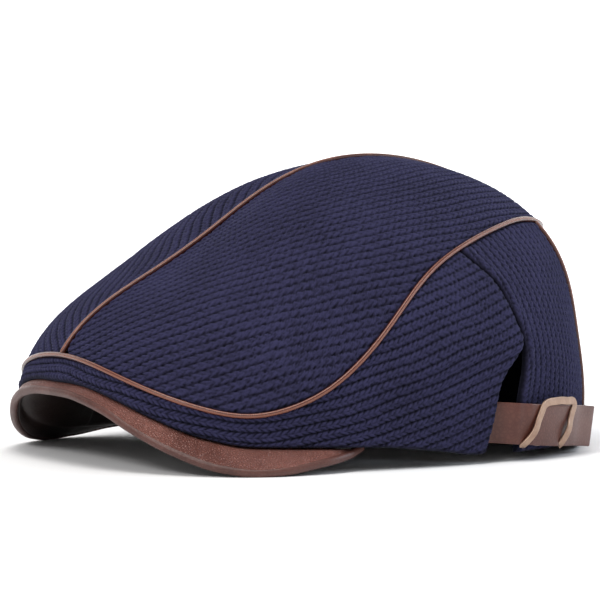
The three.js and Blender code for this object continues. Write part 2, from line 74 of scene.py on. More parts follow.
# Reach of the crown as a share of a plain half-egg: rows by bearing, columns by rise.
FORM_RISES = np.array([-14.0, 4, 20, 38, 60])
FORM_POLE = 0.996
FORM = np.array([
    [1.050, 1.032, 0.976, 0.868, 0.846],
    [1.088, 1.083, 1.022, 0.916, 0.901],
    [1.100, 1.108, 1.058, 1.002, 0.966],
    [1.030, 1.038, 1.049, 1.038, 1.001],
    [0.985, 0.996, 1.010, 1.028, 1.034],
    [0.898, 0.902, 0.932, 1.024, 1.055],
    [0.886, 0.892, 0.928, 1.028, 1.054],
])
ROUND = np.arange(-240.0, 241, 30)
ROUND_FORM = FORM[[4, 5, 6, 5, 4, 3, 2, 1, 0, 1, 2, 3, 4, 5, 6, 5, 4]]
KNOTS = np.concatenate([FORM_RISES, [90.0], 180 - FORM_RISES[::-1]])

# Band seam: bearing and rise. Hem: bearing and height as a share of the rise.
BAND = np.array([
    [0, 13.7], [20, 11.2], [34, 7.0], [46, 3.3], [54, 2.1], [61, 3.7], [68, 8.0],
    [76, 16.8], [85, 28.4], [100, 39.2], [120, 45.2], [138, 46.6], [160, 43.8], [180, 41.2],
])
HEM = np.array([
    [0, 0.331], [6, 0.331], [12, 0.326], [18, 0.311], [26, 0.274], [35, 0.213],
    [45, 0.142], [54, 0.106], [64, 0.100], [76, 0.091], [88, 0.063], [97, 0.038],
    [102, 0.041],
])
BACK_HEM = 0.034 * CAP_RISE

# Rear seam and vent: share of the drop, edge of the side piece, edge of the back piece.
REAR = np.array([
    [0.00, 100.6, 100.6], [0.06, 102.6, 102.6], [0.13, 105.0, 105.0], [0.20, 107.2, 107.2],
    [0.30, 108.2, 108.2], [0.40, 109.4, 109.4], [0.49, 109.8, 109.9], [0.56, 106.6, 109.3],
    [0.62, 103.8, 108.6], [0.68, 102.3, 107.7], [0.76, 101.4, 106.9], [0.87, 100.4, 106.7],
    [1.00, 98.9, 106.7],
])

# Peak rim: share along, then shares of half width, run back and rise.
RIM = np.array([
    [0.00, 0.000, 0.0000, 1.000], [0.06, 0.130, 0.0015, 0.992], [0.14, 0.300, 0.0120, 0.915],
    [0.21, 0.432, 0.0410, 0.785], [0.28, 0.548, 0.0855, 0.590], [0.41, 0.748, 0.2045, 0.261],
    [0.51, 0.888, 0.3380, 0.061], [0.59, 0.967, 0.4680, 0.000], [0.68, 1.004, 0.6050, 0.030],
    [0.79, 1.006, 0.7650, 0.113], [0.90, 0.975, 0.8950, 0.180], [1.00, 0.915, 1.0000, 0.262],
])
BOARD = np.array([
    [0.00, 1.00, 1.36], [0.28, 0.92, 1.28], [0.51, 0.74, 1.08], [0.68, 0.52, 0.82],
    [0.94, 0.20, 0.46],
])
BOARD_RUN = 0.93

# Strap: bearing, height of the lower edge, distance off the crown, lift of the outer strap.
STRAP = np.array([
    [96, 8.7, -6.4, 0.0], [101, 8.3, -5.8, 0.0], [103.6, 7.9, -2.6, 0.6], [106, 7.4, 0.9, 0.8],
    [109, 6.8, 0.9, 2.3], [116, 5.2, 0.9, 2.3], [125, 3.8, 0.9, 2.5], [139, 1.2, 0.9, 7.5],
    [160, 0.0, 0.9, 7.5], [180, 0.0, 0.9, 7.5],
])
STRAP_START = 96.0
TAIL_END = 132.5
INNER_START = 112.0
BUCKLE_BEARING = 114.4

# Buckle: half its length along the strap, the bar's width and thickness, its slant and droop as
# shares of height and length, how far it stands off, and the spots of its outline as shares of
# the half length and of the strap's width. Spots lower than BUCKLE_FOOT lie further in by
# BUCKLE_BEHIND.
BUCKLE_HALF = 12.2
BUCKLE_BAR = (3.4, 1.1)
BUCKLE_SLANT = 0.55
BUCKLE_DROOP = 0.05
BUCKLE_OFF = 2.6
BUCKLE_FOOT = 0.2
BUCKLE_BEHIND = 3.0
BUCKLE_SPOTS = np.array([
    [-1, 0.03], [-1, 0.3], [-1, 0.6], [-1, 0.9], [-0.985, 1.0], [-0.9, 1.05],
    [-0.5, 1.09], [0, 1.105], [0.5, 1.09], [0.9, 1.05], [0.985, 1.0], [1, 0.9],
    [1, 0.6], [1, 0.3], [1, 0.03], [0.97, 0.12], [0.5, 0.12], [0, 0.12],
    [-0.5, 0.12], [-0.97, 0.12],
])

# Leathers of the peak: rows of each sheet by share, distance between the two, how far the
# upper one runs on under the cloth, and their walls. Stitches of the rim: length, gap, thread.
PEAK_SHARES = np.array([0.0, 0.17, 0.34, 0.44, 0.72, 1.0])
PEAK_APART = 3.4
PEAK_TUCK = 5.0
PEAK_UPPER_WALL = 1.2
PEAK_UNDER_WALL = 0.9
STITCH = (1.5, 0.8, 0.6)

# Piping: radius, how far its centre lies off the skin as a share of it, and point spacing.
PIPING_RADIUS = 1.15
PIPING_SEAT = 0.62
TUBE_SPACING = 0.9

# Knitted pieces: rows and columns of the outer grid, which keep each piece under 200,000
# triangles; the roll and puff of the first and last row and the first and last column; and how
# far these and the fading of the stitches reach in from an edge, all in millimetres.
KNIT_GRID = {"top": (460, 192), "side": (720, 128), "back": (150, 180), "center": (170, 160)}
KNIT_EDGES = {
    "top": [(1.6, 0), (1.6, 0), (1.5, 0.25), (1.5, 0.25)],
    "side": [(0.8, 0.4), (0.8, 0.4), (1.5, 0.2), (1.5, 0.4)],
    "back": [(0.8, 1.0), (1.5, 0.2), (1.5, 0.2), (1.5, 0.3)],
    "center": [(1.5, 0.2), (1.5, 0.2), (1.5, 0.2), (1.5, 0.3)],
}
INNER_STEP = 4
ROLL_REACH = 1.5
FADE_REACH = 2.2
PUFF_PLACE = 3.2
PUFF_WIDTH = 2.0
MEAN_HEIGHT = 0.66
UNEVEN = 0.22
SEAM_SLACK = 0.12

# Camera: azimuth and height in degrees, distance and lens, and the spot it looks at, across
# the picture and up.
CAMERA_AZIMUTH = 60.0
CAMERA_HEIGHT = 3.219
CAMERA_AWAY = 1700.0
CAMERA_LENS = 230.41
CAMERA_ACROSS = -13.711
CAMERA_LOOK_Z = 65.552

# Knit columns lie where planes of this lean cut the crown; on the side piece they climb
# by these degrees at these bearings.
TOP_LEAN = np.array([0.326, 0.220, -0.919])
BACK_LEAN = np.array([0.875, -0.444, 0.192])
SIDE_CLIMB = np.array([
    [0, 0], [14, -10], [38, -13], [48, -9], [56, 2], [64, 12], [76, 15], [90, 18], [106, 16],
])

# The CAD frame is moved so that its box is centred: the peak's rim says by how much.
PLACE = np.array([
    0.0,
    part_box("peak_rim")[0].y / MM - (PEAK_FRONT_Y - RIM_SEAT),
    0.0,
])


# ---------------------------------------------------------------- curves and the crown
def bend_matrix(xs):
    """Matrix that turns the values of a natural cubic spline into its second derivatives."""
    n = len(xs)
    h = np.diff(xs)
    i = np.arange(1, n - 1)
    left = np.eye(n)
    right = np.zeros((n, n))
    left[i, i - 1], left[i, i], left[i, i + 1] = h[:-1] / 6, (h[:-1] + h[1:]) / 3, h[1:] / 6
    right[i, i - 1], right[i, i + 1] = 1 / h[:-1], 1 / h[1:]
    right[i, i] = -1 / h[:-1] - 1 / h[1:]
    return np.linalg.solve(left, right)


def spline(xs, ys, x):
    """Natural cubic spline through the rows ys at xs: a cubic between each two knots."""
    xs, ys, x = np.asarray(xs, float), np.asarray(ys, float), np.asarray(x, float)
    bend = np.tensordot(bend_matrix(xs), ys, 1)
    i = np.clip(np.searchsorted(xs, x) - 1, 0, len(xs) - 2)
    shape = x.shape + (1,) * (ys.ndim - 1)
    h = (xs[i + 1] - xs[i]).reshape(shape)
    a = (xs[i + 1] - x).reshape(shape) / h
    b = 1 - a
    curl = (a**3 - a) * bend[i] + (b**3 - b) * bend[i + 1]
    return a * ys[i] + b * ys[i + 1] + curl * h * h / 6


def column(xs, ys, x):
    """Monotone cubic through a table's column; each slope is the harmonic mean of its steps."""
    xs, ys, x = np.asarray(xs, float), np.asarray(ys, float), np.asarray(x, float)
    step = np.diff(ys) / np.diff(xs)
    a, b = step[:-1], step[1:]
    slope = np.concatenate([step[:1], np.zeros(len(xs) - 2), step[-1:]])
    same = a * b > 0
    slope[1:-1][same] = (2 * a * b / (a + b + (a + b == 0)))[same]
    i = np.clip(np.searchsorted(xs, x) - 1, 0, len(xs) - 2)
    h = xs[i + 1] - xs[i]
    t = np.clip((x - xs[i]) / h, 0, 1)
    ends = (2 * t**3 - 3 * t**2 + 1) * ys[i] + (3 * t**2 - 2 * t**3) * ys[i + 1]
    return ends + h * ((t**3 - 2 * t**2 + t) * slope[i] + (t**3 - t**2) * slope[i + 1])


KNOT_BENDS = bend_matrix(KNOTS)


def reach_share(bearing, rise):
    """Reach at a bearing and rise: splines round the cap give the knots of one over the top."""
    near = spline(ROUND, ROUND_FORM, (bearing + 540) % 360 - 180)
    far = spline(ROUND, ROUND_FORM, (bearing + 720) % 360 - 180)[:, ::-1]
    rows = np.concatenate([near, np.full((len(rise), 1), FORM_POLE), far], axis=1)
    bend = rows @ KNOT_BENDS.T
    i = np.clip(np.searchsorted(KNOTS, rise) - 1, 0, len(KNOTS) - 2)
    n = np.arange(len(rise))
    h = KNOTS[i + 1] - KNOTS[i]
    a = (KNOTS[i + 1] - rise) / h
    b = 1 - a
    curl = (a**3 - a) * bend[n, i] + (b**3 - b) * bend[n, i + 1]
    return a * rows[n, i] + b * rows[n, i + 1] + curl * h * h / 6


def skin(bearing, rise):
    """Crown's outer skin: a half-egg by bearing and rise, times the reach share."""
    bearing, rise = np.broadcast_arrays(np.asarray(bearing, float), np.asarray(rise, float))
    share = reach_share(bearing.ravel(), rise.ravel()).reshape(rise.shape)
    b, r = np.radians(bearing), np.radians(rise)
    level = share * np.cos(r)
    return np.stack([
        0.5 * CAP_WIDTH * level * np.sin(b),
        MIDDLE_Y - 0.5 * CAP_LENGTH * level * np.cos(b),
        MIDDLE_Z + CAP_RISE * share * np.sin(r),
    ], axis=-1)


def rise_at(bearing, height):
    """Rise at which the skin has a height, by halving the range between -25 and 60 degrees."""
    bearing, height = np.broadcast_arrays(bearing, height)
    low, high = np.full(bearing.shape, -25.0), np.full(bearing.shape, 60.0)
    for _ in range(24):
        mid = 0.5 * (low + high)
        under = skin(bearing, mid)[..., 2] < height
        low, high = np.where(under, mid, low), np.where(under, high, mid)
    return 0.5 * (low + high)


def from_disc(u, v):
    """Bearing and rise of flat disc coordinates, with the pole at the middle."""
    return np.degrees(np.arctan2(u, -v)), 90 * (1 - np.hypot(u, v))


def bearing_of(points):
    """Bearing of points round the cap."""
    return np.degrees(np.arctan2(points[..., 0] / CAP_WIDTH,
                                 (MIDDLE_Y - points[..., 1]) / CAP_LENGTH))


def skin_normal(bearing, rise):
    """Outward normal of the skin, from points a small step away on the flat disc."""
    bearing, rise = np.broadcast_arrays(np.asarray(bearing, float), np.asarray(rise, float))
    r = 1 - rise / 90
    u, v = r * np.sin(np.radians(bearing)), -r * np.cos(np.radians(bearing))
    s = 0.004
    du = skin(*from_disc(u + s, v)) - skin(*from_disc(u - s, v))
    dv = skin(*from_disc(u, v + s)) - skin(*from_disc(u, v - s))
    return unit(np.cross(du, dv))


def unit(vectors):
    """Vectors divided by their lengths."""
    return vectors / np.maximum(np.linalg.norm(vectors, axis=-1, keepdims=True), 1e-9)


def band_rise(bearing):
    """Rise of the band seam: one spline, level at the front centre."""
    mirrored = np.concatenate([-BAND[:0:-1, 0], BAND[:, 0]])
    values = np.concatenate([BAND[:0:-1, 1], BAND[:, 1]])
    return spline(mirrored, values, np.abs(bearing))


def hem_height(bearing):
    """Height of the side piece's lower edge."""
    return CAP_RISE * column(HEM[:, 0], HEM[:, 1], np.abs(bearing))


# ---------------------------------------------------------------- the crown's pieces
def top_grid(side, rows, columns):
    """Half of the top: straight lines on the flat disc from the centre seam to the band."""
    share = np.linspace(0.012, 0.988, rows)[:, None]
    t = np.linspace(0, 1, columns)[None, :]
    bearing = 180 * (share + 0.075 * np.sin(2 * np.pi * share))
    r = 1 - band_rise(bearing) / 90
    front, back = -(1 - band_rise(0.0) / 90), 1 - band_rise(180.0) / 90
    middle = front + (back - front) * (share + 0.055 * np.sin(2 * np.pi * share))
    tuck = 0.3 / CAP_WIDTH
    shrink = 1 - t * tuck
    u = side * (tuck + (r * np.sin(np.radians(bearing)) * shrink - tuck) * t)
    v = middle + (-r * np.cos(np.radians(bearing)) * shrink - middle) * t
    return skin(*from_disc(u, v))


def drop_grid(bearing, low, drop):
    """Points at a share of the drop from the band seam to a lower edge, level by level."""
    turned = np.where(bearing > 180, bearing - 360, bearing)
    top = skin(turned, band_rise(turned))[..., 2] - 0.3
    return skin(turned, rise_at(turned, top + (low(turned) - top) * drop))


def side_grid(rows, columns):
    """Side piece: bearings from vent to vent round the front, by the share of the drop."""
    along = np.linspace(-1, 1, rows)[:, None]
    drop = np.linspace(0, 1, columns)[None, :]
    bearing = along * (column(REAR[:, 0], REAR[:, 1], drop) - 0.09)
    return drop_grid(bearing, hem_height, np.broadcast_to(drop, bearing.shape))


def back_grid(first, last, rows, columns):
    """Back piece between two bearings that may change with the share of the drop."""
    drop = np.linspace(0, 1, columns)[None, :]
    t = np.linspace(0, 1, rows)[:, None]
    bearing = first(drop) + (last(drop) - first(drop)) * t
    return drop_grid(bearing, lambda b: np.full(b.shape, BACK_HEM),
                     np.broadcast_to(drop, bearing.shape))


def grid_normal(points):
    """Normals of a grid of points: cross product of its two directions, turned outwards."""
    normal = unit(np.cross(np.gradient(points, axis=0), np.gradient(points, axis=1)))
    heart = np.array([0.0, MIDDLE_Y, 0.3 * CAP_RISE])
    return normal * np.sign(np.sum(normal * (points - heart)))


def leaning_run(lean):
    """Direction of the wales where parallel planes with one lean cut the surface."""
    return lambda points, normal: unit(np.cross(lean, normal))


def climbing_run(points, normal):
    """Direction of the wales on the side piece: backwards, climbing by the table's degrees."""
    bearing = bearing_of(points)
    climb = np.radians(column(SIDE_CLIMB[:, 0], SIDE_CLIMB[:, 1], np.abs(bearing)))
    level = unit(np.cross([0.0, 0, 1], normal))
    up = np.cross(normal, level)
    return level * np.cos(climb)[..., None] + up * (np.sign(bearing) * np.sin(climb))[..., None]


def falling_run(points, normal):
    """Direction of wales that run straight down a piece."""
    return unit(np.cross(np.cross(normal, [0.0, 0, -1]), normal))


def cloth_coordinates(points, run, normal):
    """Millimetres across and along the wales, by least squares: over each edge of the grid
    they grow by that edge's length across and along the wales."""
    index = np.arange(points.shape[0] * points.shape[1]).reshape(points.shape[:2])
    pairs = [(index[:-1], index[1:]), (index[:, :-1], index[:, 1:]),
             (index[:-1, :-1], index[1:, 1:]), (index[:-1, 1:], index[1:, :-1])]
    a = np.concatenate([p.ravel() for p, _ in pairs])
    b = np.concatenate([q.ravel() for _, q in pairs])
    flat = points.reshape(-1, 3)
    along = run.reshape(-1, 3)
    across = np.cross(normal, run).reshape(-1, 3)
    step = flat[b] - flat[a]
    weight = 1 / np.maximum(np.linalg.norm(step, axis=1), 0.2)
    want = np.stack([np.sum(step * (across[a] + across[b]), axis=1),
                     np.sum(step * (along[a] + along[b]), axis=1)], axis=1) / 2
    matrix = np.zeros((len(flat), len(flat)))
    np.add.at(matrix, (a, a), weight)
    np.add.at(matrix, (b, b), weight)
    np.add.at(matrix, (a, b), -weight)
    np.add.at(matrix, (b, a), -weight)
    matrix[0, 0] += 1
    right = np.zeros((len(flat), 2))
    np.add.at(right, b, weight[:, None] * want)
    np.add.at(right, a, -weight[:, None] * want)
    return np.linalg.solve(matrix, right).reshape(points.shape[:2] + (2,))


def refine(grid, rows, columns):
    """A grid carried to more rows and columns by splines in both directions."""
    tall = spline(np.arange(grid.shape[0]), grid, np.linspace(0, grid.shape[0] - 1, rows))
    wide = spline(np.arange(grid.shape[1]), tall.swapaxes(0, 1),
                  np.linspace(0, grid.shape[1] - 1, columns))
    return wide.swapaxes(0, 1)


def waver(u, v, seed):
    """Smooth unevenness between about -1 and 1: a sum of seven sines in set directions."""
    total = np.zeros(np.broadcast(u, v).shape)
    for k in range(7):
        turn = 2.399 * k + seed
        pitch = 0.16 * 1.45**k
        total += np.sin(pitch * (u * np.cos(turn) + v * np.sin(turn)) + 1.7 * k * seed) / (1 + k)
    return total / 1.6


def stitch_height(u, v, wale, course):
    """Stocking stitch, 0 to 1. Each wale is a rib that falls by half near its edges along a
    smooth step, less a narrow bell in its middle. Its legs lean out like a V; each swells as a
    parabola to the power 0.6 along its length, and the dips between them deepen towards the
    wale's edge. A little waver is added for the looseness of the yarn."""
    lane = u / wale + 0.11 * waver(u, v, 1.3)
    number = np.floor(lane)
    m = np.abs(lane - number - 0.5)
    phase = v / course + 0.16 * waver(v, u, 4.1) + 0.37 * np.sin(12.9 * number) - 1.9 * m
    leg = 2 * (phase - np.floor(phase)) - 1
    strand = np.maximum(1 - leg * leg, 0) ** 0.6
    side = np.clip((m - 0.30) / 0.20, 0, 1)
    rib = 1 - 0.50 * side * side * (3 - 2 * side) - 0.16 * np.exp(-((m / 0.07) ** 2))
    deep = 0.42 + 0.50 * np.clip((m - 0.15) / 0.3, 0, 1)
    loose = 0.09 * waver(9 * u, 9 * v, 0.7)
    return np.clip(rib * (1 - deep * (1 - strand)) + loose, 0, 1)


# ---------------------------------------------------------------- meshes
def add_mesh(name, points, faces, uv=None, stitch_shade_and_highlight=None):
    """New object from points in millimetres and lists of corner numbers, all placed."""
    mesh = bpy.data.meshes.new(name)
    corners = np.concatenate([f.ravel() for f in faces])
    sizes = np.concatenate([np.full(len(f), f.shape[1]) for f in faces])
    starts = np.concatenate([[0], np.cumsum(sizes)[:-1]])
    mesh.vertices.add(len(points))
    mesh.vertices.foreach_set("co", ((points + PLACE) * MM).astype(np.float32).ravel())
    mesh.loops.add(len(corners))
    mesh.loops.foreach_set("vertex_index", corners.astype(np.int32))
    mesh.polygons.add(len(sizes))
    mesh.polygons.foreach_set("loop_start", starts.astype(np.int32))
    mesh.polygons.foreach_set("use_smooth", np.full(len(sizes), True))
    if uv is not None:
        layer = mesh.uv_layers.new(name="Run")
        layer.data.foreach_set("uv", (uv[corners] * MM).astype(np.float32).ravel())
    # The relief attribute carries the painted shade and highlight of the knit's stitches.
    if stitch_shade_and_highlight is not None:
        attribute = mesh.attributes.new("relief", "FLOAT", "POINT")
        attribute.data.foreach_set("value", stitch_shade_and_highlight.astype(np.float32))
    mesh.update(calc_edges=True)
    mesh.validate()
    obj = bpy.data.objects.new(name, mesh)
    bpy.context.scene.collection.objects.link(obj)
    return obj


def grid_faces(index, flip=False):
    """Quads between neighbours of a grid of corner numbers."""
    quads = np.stack([index[:-1, :-1], index[1:, :-1], index[1:, 1:], index[:-1, 1:]], axis=-1)
    quads = quads.reshape(-1, 4)
    return quads[:, ::-1] if flip else quads


def edge_loop(index):
    """Corner numbers round the border of a grid, each once."""
    return np.concatenate([index[:-1, 0], index[-1, :-1], index[:0:-1, -1], index[0, :0:-1]])


def shell_faces(outer, inner, step):
    """Faces of a closed shell: a fine outer grid, an inner grid with every step-th line, and
    fans of triangles between their borders."""
    fine, coarse = edge_loop(outer), edge_loop(inner)
    n = len(coarse)
    here, there = coarse, np.roll(coarse, -1)
    half = step // 2
    fans = []
    for k in range(step):
        low = fine[(np.arange(n) * step + k) % len(fine)]
        high = fine[(np.arange(n) * step + k + 1) % len(fine)]
        fans.append(np.stack([here if k < half else there, high, low], axis=1))
    mid = fine[(np.arange(n) * step + half) % len(fine)]
    fans.append(np.stack([here, there, mid], axis=1))
    return [grid_faces(outer), grid_faces(inner, True), np.concatenate(fans)]


def outward(points, faces):
    """The same faces, all turned round if they enclose a negative volume."""
    volume = 0.0
    for f in faces:
        a = points[f[:, 0]]
        for k in range(1, f.shape[1] - 1):
            volume += np.sum(a * np.cross(points[f[:, k]], points[f[:, k + 1]]))
    return faces if volume > 0 else [f[:, ::-1] for f in faces]


def along_rows(points):
    """Running length along the first direction of a grid."""
    step = np.linalg.norm(np.diff(points, axis=0), axis=-1)
    return np.concatenate([np.zeros((1, points.shape[1])), np.cumsum(step, axis=0)])


def rolled(distance, radius):
    """Fall of a rolled edge: a quarter circle within one radius of the edge."""
    near = np.clip(1 - distance / radius, 0, 1)
    return 1 - np.sqrt(1 - near**2)


def knit_piece(name, control, run, kind, sizes):
    """A knitted piece: the refined control grid pushed out by the stitches, with its four
    edges rolled in by a quarter circle and puffed out by a bell just inside, over a smooth
    inner skin with every fourth line of the grid."""
    step = INNER_STEP
    rows, columns = (count // step * step + 1 for count in KNIT_GRID[kind])
    normal = grid_normal(control)
    cloth = cloth_coordinates(control, run(control, normal), normal)
    fine = refine(np.concatenate([control, cloth], axis=-1), rows, columns)
    points, u, v = fine[..., :3], fine[..., 3], fine[..., 4]
    normal = grid_normal(points)
    down = along_rows(points)
    over = along_rows(points.swapaxes(0, 1)).T
    spans = [down, down[-1:] - down, over, over[:, -1:] - over]
    roll, fade, puff = 0, 1, 0
    for span, (depth, swell) in zip(spans, KNIT_EDGES[kind]):
        roll = np.maximum(roll, depth * rolled(span, depth * ROLL_REACH))
        fade = fade * (1 - 0.85 * np.clip(1 - span / FADE_REACH, 0, 1) ** 2)
        puff = puff + swell * np.exp(-((span - PUFF_PLACE) / PUFF_WIDTH) ** 2)
    height = stitch_height(u, v, sizes.wale, sizes.course)
    uneven = UNEVEN * waver(0.35 * u, 0.35 * v, 2.2)
    out = sizes.relief * (height - MEAN_HEIGHT) * fade + uneven * fade + puff - roll
    outer = points + normal * out[..., None]
    thick = sizes.cloth - np.minimum(roll, 0.42 * sizes.cloth)
    inner = (points - normal * thick[..., None])[::step, ::step]
    index = np.arange(rows * columns).reshape(rows, columns)
    under = rows * columns + np.arange(inner.shape[0] * inner.shape[1]).reshape(inner.shape[:2])
    spots = np.concatenate([outer.reshape(-1, 3), inner.reshape(-1, 3)])
    uv = np.stack([u, v], axis=-1)
    uv = np.concatenate([uv.reshape(-1, 2), uv[::step, ::step].reshape(-1, 2)])
    # Painted shade and highlight for the colour: the stitch height, faded near the edges; the
    # inner skin gets a fixed low 0.15, so it is drawn dark.
    stitch_shade_and_highlight = np.concatenate([(height * fade).ravel(), np.full(under.size, 0.15)])
    faces = outward(spots, shell_faces(index, under, step))
    return add_mesh(name, spots, faces, uv, stitch_shade_and_highlight)


def tube_piece(name, path, out, profile, closed):
    """A profile of (outwards, sideways) offsets carried along a path; ends are closed by a
    small dome. The UV holds the length along the path and the length round the profile."""
    if closed:
        ahead, behind = np.roll(path, -1, axis=0), np.roll(path, 1, axis=0)
    else:
        ahead, behind = np.vstack([path[1:], path[-1:]]), np.vstack([path[:1], path[:-1]])
    along = unit(ahead - behind)
    out = unit(out - along * np.sum(out * along, axis=1, keepdims=True))
    across = np.cross(along, out)
    spots = (path[:, None] + out[:, None] * profile[None, :, :1]
             + across[:, None] * profile[None, :, 1:])
    length = np.concatenate([[0], np.cumsum(np.linalg.norm(np.diff(path, axis=0), axis=1))])
    round_ = np.arange(len(profile)) * np.linalg.norm(profile[1] - profile[0])
    uv = np.stack(np.broadcast_arrays(length[:, None], round_[None, :]), axis=-1)
    n, k = spots.shape[:2]
    index = np.arange(n * k).reshape(n, k)
    index = np.hstack([index, index[:, :1]])
    if closed:
        index = np.vstack([index, index[:1]])
    flat = spots.reshape(-1, 3)
    flat_uv = uv.reshape(-1, 2)
    faces = [grid_faces(index)]
    if not closed:
        reach = 0.35 * np.abs(profile).max()
        caps = np.stack([path[0] - along[0] * reach, path[-1] + along[-1] * reach])
        first, last = index[0], index[-1]
        fan = np.stack([np.full(k, n * k), first[1:], first[:-1]], axis=1)
        fan2 = np.stack([np.full(k, n * k + 1), last[:-1], last[1:]], axis=1)
        flat = np.vstack([flat, caps])
        flat_uv = np.vstack([flat_uv, flat_uv[[0, -1]]])
        faces = [faces[0], np.concatenate([fan[:, ::-1], fan2[:, ::-1]])]
    return add_mesh(name, flat, outward(flat, faces), flat_uv)


def round_profile(radius, sides):
    """Circle of offsets."""
    turn = 2 * np.pi * np.arange(sides) / sides
    return np.stack([radius * np.cos(turn), radius * np.sin(turn)], axis=1)


def slab_profile(width, height, corner, sides=6):
    """Rounded rectangle of offsets: quarter circles at four corners."""
    turn = np.linspace(0, 0.5 * np.pi, sides)
    spots = []
    for k, (sx, sy) in enumerate([(1, 1), (-1, 1), (-1, -1), (1, -1)]):
        angle = turn + 0.5 * np.pi * k
        spots.append(np.stack([sx * (0.5 * height - corner) + corner * np.cos(angle),
                               sy * (0.5 * width - corner) + corner * np.sin(angle)], axis=1))
    return np.concatenate(spots)


def evenly(path, out, spacing, closed=False):
    """Path and outward directions sampled again at even lengths by splines."""
    if closed:
        path = np.vstack([path[-4:], path, path[:5]])
        out = np.vstack([out[-4:], out, out[:5]])
    length = np.concatenate([[0], np.cumsum(np.linalg.norm(np.diff(path, axis=0), axis=1))])
    low, high = (length[4], length[-5]) if closed else (0, length[-1])
    count = max(8, int(round((high - low) / spacing)))
    s = np.linspace(low, high, count + 1)[: count if closed else count + 1]
    return spline(length, path, s), unit(spline(length, out, s))


def bead_row(name, path, out, length, gap, thick, sides=8):
    """A row of small stitches along the path: each is an oval bead of six rings of eight."""
    path, out = evenly(path, out, 0.5 * (length + gap))
    path, out = path[: len(path) // 2 * 2], out[: len(path) // 2 * 2]
    middle, along = path[1::2], unit(path[1::2] - path[::2])
    out = out[1::2]
    across = np.cross(along, out)
    turn = 2 * np.pi * np.arange(sides) / sides
    t = np.array([-1.0, -0.8, -0.35, 0.35, 0.8, 1.0])
    fat = np.array([0.05, 0.62, 1.0, 1.0, 0.62, 0.05])
    ring = np.stack([np.cos(turn), np.sin(turn)], axis=1)
    spots = (middle[:, None, None] + along[:, None, None] * (0.5 * length * t)[None, :, None, None]
             + 0.5 * thick * fat[None, :, None, None] * (
                 out[:, None, None] * ring[None, None, :, :1]
                 + across[:, None, None] * ring[None, None, :, 1:]))
    n, a, b = spots.shape[:3]
    index = np.arange(n * a * b).reshape(n, a, b)
    index = np.concatenate([index, index[:, :, :1]], axis=2)
    quads = np.stack([index[:, :-1, :-1], index[:, 1:, :-1], index[:, 1:, 1:],
                      index[:, :-1, 1:]], axis=-1).reshape(-1, 4)
    caps = [index[:, 0, :-1], index[:, -1, -2::-1]]
    flat = spots.reshape(-1, 3)
    faces = [quads, *caps]
    return add_mesh(name, flat, outward(flat, faces))


# ---------------------------------------------------------------- peak and strap
def rim_point(along):
    """Centre of the rim's binding at a signed share of the way along from the front."""
    a = np.abs(along)
    return np.stack([
        np.sign(along) * PEAK_HALF_WIDTH * column(RIM[:, 0], RIM[:, 1], a),
        PEAK_FRONT_Y + RIM_RUN_BACK * column(RIM[:, 0], RIM[:, 2], a),
        RIM_SEAT + PEAK_RISE * column(RIM[:, 0], RIM[:, 3], a),
    ], axis=-1)


def peak_rows(along):
    """Rows of the peak's upper and under faces, from the rim inwards. The upper face leaves the
    rim's round along a tangent, bulges by a share of its length up to the hem, runs on under
    the cloth and rises inside. The under face starts low on the rim's inner side and lies
    below the upper one."""
    rim = rim_point(along)
    run = rim_point(along + 0.01) - rim_point(along - 0.01)
    inward = unit(np.stack([-run[:, 1], run[:, 0], 0 * run[:, 0]], axis=1))
    up = np.tile([0.0, 0, 1], (len(along), 1))
    bearing = bearing_of(rim)
    for _ in range(6):
        hem = hem_height(bearing) - LAYER_GAP
        reach = np.sum((skin(bearing, rise_at(bearing, hem)) - rim) * inward, axis=1)
        bearing = 0.5 * bearing + 0.5 * bearing_of(rim + inward * reach[:, None])
    reach = np.maximum(reach, 2.4)
    climb = np.maximum(hem - rim[:, 2], 0.4)
    slope = np.arctan2(climb, reach + 1.0)[:, None]
    start = rim + RIM_RADIUS * (np.cos(slope) * up - np.sin(slope) * inward)
    under = rim + inward * (reach + 0.8)[:, None]
    under[:, 2] = rim[:, 2] + climb - 0.2
    lift = unit(np.cos(slope) * up - np.sin(slope) * inward)
    span = np.linalg.norm(under - start, axis=1, keepdims=True)
    middle = 0.5 * (start + under) + 0.05 * span * lift
    depth = PEAK_DEPTH * column(BOARD[:, 0], BOARD[:, 1], np.abs(along))
    depth = np.maximum(depth, reach + 9.0)
    inner = RIM_RADIUS + PEAK_RISE * column(BOARD[:, 0], BOARD[:, 2], np.abs(along))
    inner = np.maximum(inner, rim[:, 2] + climb + 1.5)
    behind = rim + inward * (reach + PEAK_TUCK)[:, None]
    behind[:, 2] = rim[:, 2] + climb - 0.1
    centre = rim + inward * (0.5 * (reach + PEAK_TUCK + depth))[:, None]
    centre[:, 2] = 0.5 * (rim[:, 2] + climb + inner) + 1.0
    last = rim + inward * depth[:, None]
    last[:, 2] = inner
    upper = np.stack([start, middle, under, behind, centre, last], axis=1)
    low = rim + RIM_RADIUS * (0.85 * inward + 0.05 * up)
    drop = PEAK_APART * up
    lower = np.stack([low, 0.55 * low + 0.45 * (under - drop), under + 0.4 * inward - drop,
                      behind - drop, centre - drop, last - 0.9 * drop], axis=1)
    return upper, lower


